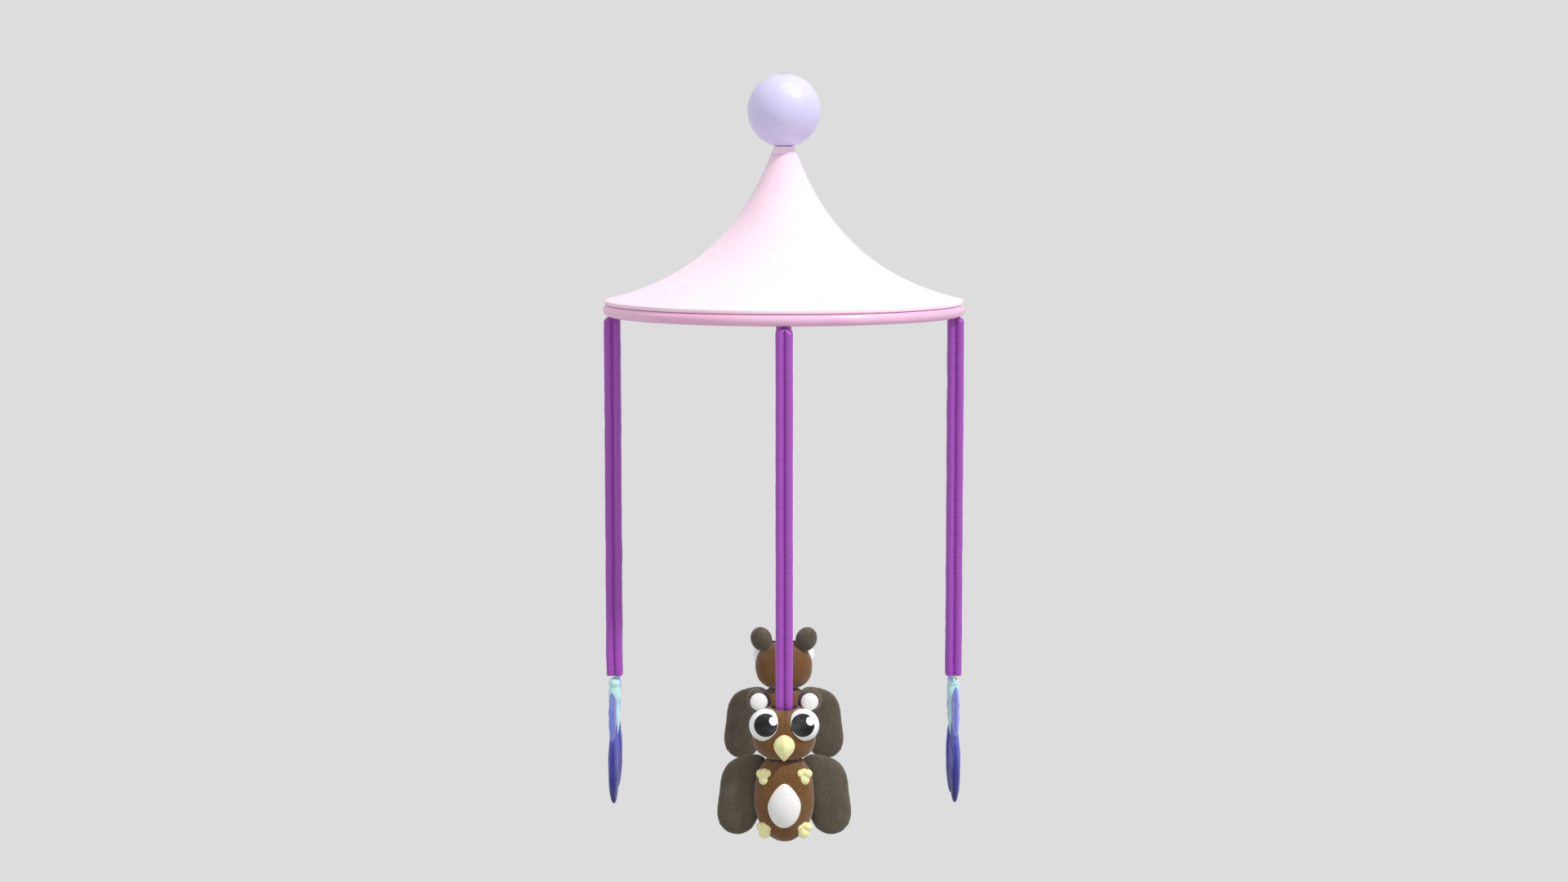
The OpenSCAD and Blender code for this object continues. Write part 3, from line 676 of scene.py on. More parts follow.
def stitch(a: Vector, b: Vector, radius: float, lift: Vector) -> Shape:
    """One visible stitch: a short thread that rises between two holes.

    Args:
        a: where the thread comes out.
        b: where it goes in.
        radius: the thread's radius.
        lift: how far its middle stands off the line from a to b.

    Returns:
        The stitch.
    """
    steps = 5
    path = [a.lerp(b, i / steps) + lift * sin(pi * i / steps) for i in range(steps + 1)]
    return tube(path, lambda u: radius * (0.35 + 0.65 * sin(pi * min(max(u, 0.06), 0.94)) ** 0.5), sides=6)


def resampled(path: Sequence[Vector], step: float, closed: bool = True) -> list[Vector]:
    """Points at even distances along a path.

    Args:
        path: the path's corners.
        step: the distance wanted between points.
        closed: whether the path is a loop.

    Returns:
        The evenly spaced points.
    """
    ends = list(path) + ([path[0]] if closed else [])
    lengths = [(b - a).length for a, b in zip(ends, ends[1:])]
    count = max(3, round(sum(lengths) / step))
    marks = [sum(lengths) * i / count for i in range(count if closed else count + 1)]
    found, piece, passed = [], 0, 0.0
    for mark in marks:
        while piece < len(lengths) - 1 and mark > passed + lengths[piece]:
            passed += lengths[piece]
            piece += 1
        share = (mark - passed) / max(lengths[piece], 1e-9)
        found.append(ends[piece].lerp(ends[piece + 1], unit(share)))
    return found


def corners(points: Sequence[Vector]) -> tuple[Vector, Vector]:
    """The lowest and the highest corner of some points."""
    return tuple(Vector([pick(p[i] for p in points) for i in range(3)]) for pick in (min, max))


def fitted(points: Sequence[Vector], low: Point, high: Point) -> list[Vector]:
    """Points stretched along each axis until they fill a box.

    Args:
        points: the points.
        low: the box's lowest corner.
        high: its highest corner.

    Returns:
        The stretched points.
    """
    a, b = corners(points)
    return [Vector([low[i] + (p[i] - a[i]) * (high[i] - low[i]) / max(b[i] - a[i], 1e-9) for i in range(3)])
            for p in points]


def arc(centre: Vector, wide: Vector, high: float, first: float, last: float, count: int) -> list[Vector]:
    """Points along an upright ellipse."""
    angles = [radians(first + (last - first) * i / (count - 1)) for i in range(count)]
    return [centre + wide * cos(a) + Vector((0.0, 0.0, high * sin(a))) for a in angles]


def hull_outline(circles: Sequence[tuple[float, float, float]], soft: int = 0, turns: int = 180) -> list[Vector]:
    """The outline that a tight band makes round some circles.

    Args:
        circles: each circle's x, z and radius.
        soft: how often the outline is rounded off, within the same width and height.
        turns: directions looked in.

    Returns:
        The outline's points in the x-z plane.
    """
    found = []
    for a in around(turns):
        d = Vector((cos(a), 0.0, sin(a)))
        x, z, r = max(circles, key=lambda c: c[0] * d.x + c[1] * d.z + c[2])
        found.append(Vector((x, 0.0, z)) + r * d)
    if not soft:
        return found
    low, high = corners(found)
    found = resampled(found, 1.5)
    for _ in range(soft):
        count = len(found)
        found = [(found[i - 1] + 2 * found[i] + found[(i + 1) % count]) / 4 for i in range(count)]
    return fitted(found, low, high)


# ---------------------------------------------------------------- sewn pillows


@dataclass(frozen=True)
class Pillow:
    """Two flat panels sewn along one outline and stuffed.

    The panels are blown up as cloth, ten times as large as life, and the result is fitted to the size that
    the finished piece has.
    """

    outline: tuple[tuple[float, float], ...]
    thickness: float
    looseness: float = 0.5
    mesh_step: float = 1.7
    pressure: float = 4.0
    frames: int = 20

    ENLARGE = 0.01
    CLOTH = {"quality": 8, "mass": 0.25, "tension_stiffness": 18.0, "compression_stiffness": 18.0,
             "shear_stiffness": 6.0, "bending_stiffness": 0.15, "use_pressure": True, "air_damping": 6.0}

    def panels(self) -> tuple[Shape, int]:
        """The two flat panels, joined along their edge.

        Returns:
            The shape, and how many of its first points lie on the edge.
        """
        edge = resampled([Vector((x, 0.0, z)) for x, z in self.outline], self.mesh_step)
        flat = [Vector((p.x, p.z)) for p in edge]
        spots = list(flat)
        low = Vector((min(p.x for p in flat), min(p.y for p in flat)))
        high = Vector((max(p.x for p in flat), max(p.y for p in flat)))
        row_h = self.mesh_step * sqrt(3.0) / 2.0
        for row in range(int((high.y - low.y) / row_h) + 1):
            for column in range(int((high.x - low.x) / self.mesh_step) + 1):
                spot = low + Vector(((column + 0.5 * (row % 2)) * self.mesh_step, row * row_h))
                if self._inside(spot, flat) and min((spot - e).length for e in flat) > 0.62 * self.mesh_step:
                    spots.append(spot)
        ring = [(i, (i + 1) % len(flat)) for i in range(len(flat))]
        points, _, faces, *_ = geometry.delaunay_2d_cdt(spots, ring, [], 1, 1e-6)
        count = len(points)
        front = [Vector((p.x, 0.0, p.y)) for p in points]
        number = {i: (i if i < len(flat) else count + i - len(flat)) for i in range(count)}
        lift = Vector((0.0, 0.05, 0.0))
        shape = Shape([p if i < len(flat) else p - lift for i, p in enumerate(front)]
                      + [p + lift for p in front[len(flat):]])
        shape.faces = [tuple(f) for f in faces] + [tuple(number[i] for i in reversed(f)) for f in faces]
        return shape, len(flat)

    @staticmethod
    def _inside(spot: Vector, ring: Sequence[Vector]) -> bool:
        """Whether a flat point lies inside a closed ring.

        Args:
            spot: the point.
            ring: the ring's points.

        Returns:
            True if it does.
        """
        odd = False
        for a, b in zip(ring, list(ring[1:]) + [ring[0]]):
            if (a.y > spot.y) != (b.y > spot.y) and spot.x < a.x + (spot.y - a.y) / (b.y - a.y) * (b.x - a.x):
                odd = not odd
        return odd

    def stuffed(self, name: str) -> tuple[Shape, int]:
        """The stuffed pillow at its finished size.

        Args:
            name: a name for the cloth while it is being worked.

        Returns:
            The shape, and how many of its first points lie on the sewn edge.
        """
        shape, edge_count = self.panels()
        result = self._fitted(self._puffed(shape, edge_count))
        blown = self._fitted(self._blown(name, shape))
        result.points = [a.lerp(b, self.looseness) for a, b in zip(result.points, blown.points)]
        return self._fitted(result), edge_count

    def _puffed(self, shape: Shape, edge_count: int) -> Shape:
        """The pillow that a formula gives.

        Args:
            shape: the two flat panels.
            edge_count: how many of its first points lie on the edge.

        Returns:
            The puffed shape.
        """
        edge = shape.points[:edge_count]
        reach = self.thickness
        points = []
        for i, p in enumerate(shape.points):
            near = 0.0 if i < edge_count else min((Vector((p.x, 0, p.z)) - e).length for e in edge)
            share = min(near / reach, 1.0)
            points.append(Vector((p.x, copysign(sqrt(1.0 - (1.0 - share) ** 2), p.y), p.z)))
        return Shape(points, shape.faces)

    def _blown(self, name: str, shape: Shape) -> Shape:
        """The pillow blown up as cloth.

        Args:
            name: a name for the cloth.
            shape: the two flat panels.

        Returns:
            The blown shape.
        """
        mesh = shape.to_mesh(name, Matrix.Scale(self.ENLARGE, 4))
        thing, scene = put(name, mesh), bpy.context.scene
        cloth = thing.modifiers.new("stuffing", "CLOTH")
        for key, value in self.CLOTH.items():
            setattr(cloth.settings, key, value)
        cloth.settings.uniform_pressure_force = self.pressure
        cloth.settings.effector_weights.gravity = 0.0
        cloth.collision_settings.use_collision = False
        cloth.point_cache.frame_start, cloth.point_cache.frame_end = 1, self.frames
        for frame_number in range(1, self.frames + 1):
            scene.frame_set(frame_number)
        result = taken(thing)
        scene.frame_set(1)
        return result

    def _fitted(self, shape: Shape) -> Shape:
        """The shape scaled to the outline's size and to the pillow's thickness.

        Args:
            shape: the shape.

        Returns:
            The scaled shape.
        """
        xs, zs = zip(*self.outline)
        low, high = (min(xs), -self.thickness / 2, min(zs)), (max(xs), self.thickness / 2, max(zs))
        return Shape(fitted(shape.points, low, high), shape.faces)


def fused(parts: Shape, voxel: float, smoothing: int) -> Shape:
    """Overlapping closed shapes grown together into one soft skin."""
    return modified(parts, ("REMESH", {"mode": "VOXEL", "voxel_size": voxel}),
                    ("SMOOTH", {"factor": 0.5, "iterations": smoothing}))


@dataclass(frozen=True)
class Quilt:
    """A stuffed panel, its sewn edge, and the lines of quilting stitched through it."""

    shape: Shape
    edge: tuple[Vector, ...]
    lines: tuple[tuple[Vector, ...], ...] = ()

    @classmethod
    def make(cls, name: str, outline: Sequence[Vector], thickness: float, looseness: float = 0.5,
             lines: Iterable[Sequence[tuple[float, float]]] = (), pull: float = 0.5) -> "Quilt":
        """Stuffs a panel and draws it in along its quilting.

        Args:
            name: a name for the cloth while it is being worked.
            outline: the panel's outline in the x-z plane.
            thickness: how thick the finished piece is.
            looseness: how much of the cloth's own shape it takes, from 0 to 1.
            lines: each quilting line's x and z stops.
            pull: how far the quilting draws the two panels together, from 0 to 1.

        Returns:
            The finished quilt.
        """
        rows = tuple(tuple(resampled([Vector((x, 0.0, z)) for x, z in line], 1.0, closed=False)) for line in lines)
        pillow = Pillow(tuple((p.x, p.z) for p in outline), thickness, looseness)
        shape, edge_count = pillow.stuffed(name)
        shape = modified(shape, ("SUBSURF", {"levels": 1, "render_levels": 1}))

        def drawn_in(p: Vector) -> Vector:
            """A point moved with the soft lumps of the filling and the pull of the quilting."""
            flat = Vector((p.x, 0.0, p.z))
            near = min((min((flat - q).length for q in row) for row in rows), default=99.0)
            soft = noise.noise(p * 0.11) * 0.35 * min(abs(p.y), 1.0)
            held = pull * bell(near, 1.5) + 0.25 * pull * bell(near, 4.5)
            return Vector((p.x, (p.y + copysign(soft, p.y)) * (1.0 - held), p.z))

        shape = shape.bent(drawn_in)
        return cls(shape, tuple(shape.points[i].copy() for i in range(edge_count)), rows)

    def edging(self, step: float, half: float, radius: float) -> Shape:
        """Whip stitches over the sewn edge.

        Args:
            step: the distance between stitches.
            half: how far each reaches over either face.
            radius: the thread's radius.

        Returns:
            The stitches.
        """
        middle = sum(self.edge, Vector()) / len(self.edge)
        spots = resampled(self.edge, step)
        run = Shape()
        for i, a in enumerate(spots):
            out = (a - middle).normalized()
            lean = (spots[(i + 1) % len(spots)] - a).normalized() * 0.5
            side = Vector((0.0, half, 0.0))
            run.add(stitch(a - out * 0.7 - side - lean, a - out * 0.7 + side + lean, radius, out * 0.8))
        return run

    def quilting(self, length: float, gap: float, radius: float) -> Shape:
        """Running stitches along the quilting lines, on both faces.

        Args:
            length: how long each stitch is.
            gap: the distance between stitches.
            radius: the thread's radius.

        Returns:
            The stitches.
        """
        skin = BVHTree.FromPolygons(self.shape.points, self.shape.faces)
        run = Shape()
        for row in self.lines:
            spots = resampled(row, length + gap, closed=False)
            for a, b in zip(spots, spots[1:]):
                b = a.lerp(b, length / (length + gap))
                for face in (-1.0, 1.0):
                    ends = []
                    for spot in (a, b):
                        found = skin.ray_cast(Vector((spot.x, face * 60.0, spot.z)), Vector((0.0, -face, 0.0)))[0]
                        ends.append(found)
                    if None not in ends:
                        run.add(stitch(ends[0], ends[1], radius, Vector((0.0, 0.28 * face, 0.0))))
        return run


# ---------------------------------------------------------------- places and pieces


@dataclass(frozen=True)
class Place:
    """One hanging place under the rim."""

    name: str
    turn: float
    strap_end: Vector
    rim_under: float
    bar: float

    @property
    def matrix(self) -> Matrix:
        """Takes millimetres in the place's own axes to metres in the frame."""
        return (Matrix.Translation(self.strap_end) @ Matrix.Rotation(self.turn, 4, "Z") @ Matrix.Scale(MM, 4))

    @classmethod
    def all(cls, frame: dict) -> list["Place"]:
        """The four places, read from the frame's joints.


        Returns:
            The places in the order front, right, back, left.
        """
        joints = {joint["name"]: joint for joint in frame["joints"]}
        rim_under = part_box("rim_ring")[0].z
        places = []
        for i, name in enumerate(("front", "right", "back", "left")):
            end = Vector(joints[f"{name}_twist"]["pos_m"])
            bar = Vector(joints[f"{name}_sway"]["pos_m"]).z
            places.append(cls(name, i * pi / 2, end, (rim_under - end.z) / MM, (bar - end.z) / MM))
        return places


class Maker:
    """What every sub-assembly's maker does: it turns shapes into pieces of the mobile."""

    def piece(self, name: str, shape: Shape, paint: str, body: str, slot: str, matrix: Matrix,
              instead_of: Iterable[str] = (), fill: float | None = None) -> bpy.types.Object:
        """Makes one piece and puts it on its body.

        Args:
            name: the piece's name.
            shape: its mesh in millimetres.
            paint: the name of its finish.
            body: the body that carries it.
            slot: the record's material slot; not used.
            matrix: from millimetres to the frame.
            instead_of: the CAD nodes that it stands for.
            fill: how full it is, if it is a stuffed piece; not used.

        Returns:
            The piece.
        """
        thing = put(name, shape.to_mesh(name, matrix))
        thing.data.materials.append(Paints.get(paint))
        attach(thing, body)
        if instead_of:
            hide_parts(*instead_of)
        log.info("%s made of %s on %s", name, paint, body)
        return thing

    @staticmethod
    def dress(frame: dict, paint: str, *nodes: str) -> None:
        """Gives CAD nodes that stay in view their finish.

        Args:
            paint: the name of the finish.
            nodes: the CAD nodes.
        """
        for node in nodes:
            mesh = frame["nodes"][node].data
            mesh.materials.clear()
            mesh.materials.append(Paints.get(paint))
            log.info("%s dressed in %s", node, paint)


@dataclass
class Toy(Maker):
    """A stuffed ornament, whose pieces all ride on one body named after its kind and its place."""

    place: Place = None
    kind: ClassVar[str] = "toy"

    @property
    def owner(self) -> str:
        """The body's name, which the toy's CAD nodes start with."""
        return f"{self.kind}_{self.place.name}"

    @property
    def matrix(self) -> Matrix:
        """From the toy's millimetres to the frame."""
        return self.place.matrix

    def add(self, part: str, shape: Shape, paint: str, fill: float | None = None) -> None:
        """Makes a piece that stands for the CAD node of the same part."""
        self.piece(f"{self.owner}_{part}_made", shape, paint, self.owner, paint, self.matrix,
                   instead_of=[f"{self.owner}_{part}"], fill=fill)

    def trim(self, part: str, shape: Shape, paint: str, slot: str) -> None:
        """Makes a small piece that stands for no CAD node."""
        self.piece(f"{self.owner}_{part}", shape, paint, self.owner, slot, self.matrix)


# ---------------------------------------------------------------- ball, canopy and rim


@dataclass
class Canopy(Maker):
    """The turning part: fabric cover over its shell, the rim, and the swivel in the ball."""

    neck_radius: float = 9.8
    cover_thickness: float = 0.8
    edge_height: float = 2.6
    edge_inset: float = 1.9
    bead: float = 10.6
    collar: float = 6.0
    hem_width: float = 4.0
    segments: int = 192
    steps: int = 56

    DRESS: ClassVar[tuple[tuple[str, ...], ...]] = (
        ("ball_plastic", "ball_upper_shell", "ball_lower_shell"), ("socket_brass", "arm_socket"),
        ("bearing_steel", "bearing_outer_race", "bearing_inner_race", "bearing_balls"),
        ("cage_brass", "bearing_cage"), ("spindle_steel", "spindle", "spindle_nut"),
        ("clip_steel", "spindle_clip"),
        ("collar_plastic", "neck_collar"), ("shell_plastic", "canopy_shell"), ("rim_plastic", "rim_ring"),
        ("screw_steel", "rim_screws", "hanger_pins"))

    def outline(self, share: float) -> tuple[float, float]:
        """A point of the tent's outline.

        Args:
            share: from 0 at the neck to 1 at the rim.

        Returns:
            Its radius and its height over the rim's underside.
        """
        far, near = self.rim_radius - self.edge_inset, self.neck_radius
        stops = ((near, self.height - 0.9), (near + 0.178 * (far - near), 0.5 * self.height),
                 (near + 0.495 * (far - near), 0.208 * self.height),
                 (far, self.bead + self.cover_thickness + self.edge_height))
        u = 1.0 - share
        weights = (u ** 3, 3 * u * u * share, 3 * u * share * share, share ** 3)
        return tuple(sum(w * stop[i] for w, stop in zip(weights, stops)) for i in (0, 1))

    def build(self, frame: dict) -> None:
        """Makes the cover and dresses everything that turns or holds it.
        """
        low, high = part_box("rim_ring")
        self.rim_radius = (high.x - low.x) / 2 / MM
        self.height = (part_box("ball_lower_shell")[0].z - low.z) / MM
        self.base = Matrix.Translation((0.0, 0.0, low.z)) @ Matrix.Scale(MM, 4)
        self.cover()
        for paint, *nodes in self.DRESS:
            self.dress(frame, paint, *nodes)

    def cover(self) -> None:
        """The fabric: one sheet from the collar over the shell and round its edge, with its hems."""
        first = self._share_at(self.height - self.collar)
        line = [self.outline(first + (1.0 - first) * i / self.steps) for i in range(self.steps + 1)]
        t = self.cover_thickness
        under = [self._inset(line, i, t) for i in range(len(line))]
        far, foot = line[-1][0], self.bead + t
        top = self.height - self.collar
        outer = [(line[0][0] - self.hem_width, top), (line[0][0] - 0.5, top + 0.05)] + line[:-1]
        edge = [(far - 0.25, line[-1][1] + 0.05), (far, line[-1][1] - 0.5), (far, self.bead + 0.6),
                (far - 0.2, self.bead + 0.12), (far - 0.7, self.bead)]
        hem = [(far - t - self.hem_width, self.bead), (far - t - self.hem_width, foot), (far - t, foot)]
        inner = [p for p in reversed(under) if p[0] < far - t - 0.1 and p[1] < top - t - 0.1]
        neck = [(line[0][0] - t, top - t), (line[0][0] - self.hem_width, top - t)]
        shape = lathe(outer + edge + hem + inner + neck, self.segments).bent(self._ease)
        cover = self.piece("canopy_cover_fabric", shape, "canopy_fabric", "canopy", "canopy_fabric", self.base,
                           instead_of=["canopy_cover"])
        seam = self._seam(line, first)
        self.piece("canopy_cover_stitching", seam, "pink_thread", "canopy", "canopy_fabric", self.base)

    def _share_at(self, level: float) -> float:
        """Where on the outline a height is reached.

        Args:
            level: the height.

        Returns:
            The share of the way from the neck to the rim.
        """
        low, high = 0.0, 1.0
        for _ in range(30):
            middle = (low + high) / 2
            low, high = (middle, high) if self.outline(middle)[1] > level else (low, middle)
        return low

    @staticmethod
    def _inset(line: Sequence[tuple[float, float]], i: int, depth: float) -> tuple[float, float]:
        """The point at a depth under one of a line's points.

        Args:
            line: the points, as radius and height.
            i: which of them.
            depth: how far under it.

        Returns:
            The point under it.
        """
        a, b = line[max(i - 1, 0)], line[min(i + 1, len(line) - 1)]
        run, fall = b[0] - a[0], b[1] - a[1]
        size = hypot(run, fall)
        return line[i][0] + depth * fall / size, line[i][1] - depth * run / size

    def _ease(self, p: Vector) -> Vector:
        """Slight unevenness of a hand-stretched cover, and the dip along its seam.

        Args:
            p: a point of the cover.

        Returns:
            The point where it really lies.
        """
        radius = hypot(p.x, p.y)
        if radius < 1e-6:
            return p
        free = unit((radius - 20.0) / 40.0) * unit((self.rim_radius - 6.0 - radius) / 30.0)
        wave = noise.noise(Vector((p.x, p.y, p.z)) * 0.016) * 0.30 * free
        across = abs(p.x) if p.y > 0 else 99.0
        dip = 0.35 * bell(across, 0.9)
        return p + Vector((0.0, 0.0, wave - dip * min(free + 0.4, 1.0)))

    def _seam(self, line: Sequence[tuple[float, float]], first: float) -> Shape:
        """The stitches on both sides of the cover's one seam, at the back."""
        path = resampled([Vector((0.0, r, z)) for r, z in line[2:-3]], 3.0, closed=False)
        seam = Shape()
        for side in (-1.9, 1.9):
            for a, b in zip(path, path[1:]):
                up = Vector((0.0, -(b - a).z, (b - a).y)).normalized()
                start = a.lerp(b, 0.14) + up * 0.02
                finish = a.lerp(b, 0.80) + up * 0.02
                offset = Vector((side, 0.0, 0.0))
                seam.add(stitch(start + offset, finish + offset, 0.22, up * 0.16))
        return seam


# ---------------------------------------------------------------- straps


@dataclass
class Strap(Maker):
    """A stuffed satin strap of four sewn lobes, with the loop that holds it on its ring."""

    place: Place = None
    lobe: float = 3.9
    lobe_at: float = 3.6
    pucker: float = 0.34
    pitch: float = 5.2
    sides: int = 72
    ring_step: float = 1.3
    loop_inside: float = 1.12
    loop_outside: float = 2.08
    loop_width: float = 3.8
    loop_tails: tuple[float, float] = (4.6, 2.2)
    dome: float = 10.0
    widest: float = 8.95
    wander: float = 0.35
    stitch_length: float = 2.3
    stitch_pitch: float = 3.4

    def build(self, frame: dict) -> None:
        """Makes the strap's cloth and stitching, and dresses its ring and plug.
        """
        name = self.place.name
        body = f"strap_{name}"
        cloth = self.column().add(self.loop())
        self.piece(f"strap_{name}_satin", cloth, "strap_satin", body, "strap_satin", self.place.matrix,
                   instead_of=[f"strap_{name}"], fill=0.7)
        self.piece(f"strap_{name}_stitching", self.seams(), "purple_thread", body, "strap_satin",
                   self.place.matrix)
        self.dress(frame, "ring_wire", f"hanger_ring_{name}")
        self.dress(frame, "plug_plastic", f"end_plug_{name}")

    def reach(self, angle: float) -> float:
        """The section's radius in a direction: the four lobes, softly joined."""
        best = []
        for k in range(4):
            away = pi / 4 + k * pi / 2 - angle
            centre = self.lobe_at * sqrt(2.0)
            side = centre * sin(away)
            if abs(side) < self.lobe and cos(away) > 0:
                best.append(centre * cos(away) + sqrt(self.lobe ** 2 - side ** 2))
        return max(best)

    def valley(self, angle: float) -> float:
        """How close a direction is to a sewn valley, from 0 to 1."""
        quarter = pi / 2
        off = abs((angle + quarter / 2) % quarter - quarter / 2)
        return bell(off, 0.22)

    def column(self) -> Shape:
        """The four lobes from the sewn lower end to the domed top."""
        top = self.place.rim_under - 1.0
        step_count = round((top - 1.0) / self.ring_step)
        sewn_end = ((0.9, 0.45), (0.35, 0.66), (0.05, 0.86), (0.25, 0.955), (0.8, 0.99))
        rings = [self.ring(z, share) for z, share in sewn_end]
        rings += [self.ring(1.4 + (top - 6.8) * i / step_count, 1.0) for i in range(1, step_count + 1)]
        centre = top - self.dome
        for i in range(1, 12):
            angle = radians(26.0 + 5.4 * i)
            rings.append(self.ring(centre + self.dome * sin(angle), 1.0, self.dome * cos(angle)))
        return loft(rings)

    def stray(self, z: float) -> Vector:
        """How far the strap wanders sideways at a height."""
        seed = Vector((self.place.turn * 3.1, 0.0, z * 0.035))
        return Vector((noise.noise(seed), noise.noise(seed + Vector((7.0, 0.0, 0.0))), 0.0)) * self.wander

    def ring(self, z: float, share: float, limit: float = 99.0) -> list[Vector]:
        """One ring of the strap's cloth.

        Args:
            z: its height over the strap's end.
            share: how much of the full section it keeps.
            limit: the largest radius it may have.

        Returns:
            The ring's points.
        """
        lean = self.stray(z)
        swell = 1.0 + 0.018 * noise.noise(Vector((2.0, self.place.turn, z * 0.06)))
        points = []
        for angle in around(self.sides):
            radius = self.reach(angle) * share * swell
            gather = cos(tau * z / self.pitch + 1.9 * round(angle / (pi / 2)))
            uneven = noise.noise(Vector((cos(angle) * 1.3, sin(angle) * 1.3 + self.place.turn, z * 0.22)))
            radius -= self.valley(angle) * self.pucker * (0.9 + 0.8 * gather)
            radius += 0.22 * uneven * share
            if share < 1.0:
                radius -= 0.35 * (1.0 - share) * cos(12 * angle)
            radius = min(radius, limit, self.widest)
            points.append(Vector((radius * cos(angle), radius * sin(angle), z)) + lean * share)
        return points

    def loop(self) -> Shape:
        """The sewn loop of ribbon round the ring's bar."""
        middle, bar = (self.loop_inside + self.loop_outside) / 2, self.place.bar
        path = [Vector((-middle, 0.0, bar - tail)) for tail in self.loop_tails]
        path += arc(Vector((0.0, 0.0, bar)), Vector((-middle, 0.0, 0.0)), middle, 0.0, 180.0, 15)
        path += [Vector((middle, 0.0, bar - tail)) for tail in reversed(self.loop_tails)]
        half_t, half_w = (self.loop_outside - self.loop_inside) / 2, self.loop_width / 2
        rings = []
        for i, spot in enumerate(path):
            along = (path[min(i + 1, len(path) - 1)] - path[max(i - 1, 0)]).normalized()
            out = Vector((along.z, 0.0, -along.x))
            section = ((-0.8, -1.0), (-1.0, -0.8), (-1.0, 0.0), (-1.0, 0.8), (-0.8, 1.0),
                       (0.8, 1.0), (1.0, 0.8), (1.0, 0.0), (1.0, -0.8), (0.8, -1.0))
            rings.append([spot + out * (u * half_t) + Vector((0.0, v * half_w, 0.0)) for u, v in section])
        return loft(rings)

    def seams(self) -> Shape:
        """A running stitch down each of the four valleys."""
        seams = Shape()
        top = self.place.rim_under - 9.0
        for k in range(4):
            angle = k * pi / 2
            out = Vector((cos(angle), sin(angle), 0.0))
            z = 4.0
            while z < top:
                depth = self.reach(angle) - self.pucker * 0.9
                start = out * (depth - 0.05) + self.stray(z) + Vector((0.0, 0.0, z))
                seams.add(stitch(start, start + Vector((0.0, 0.0, self.stitch_length)), 0.24, out * 0.28))
                z += self.stitch_pitch
        return seams


# ---------------------------------------------------------------- owls


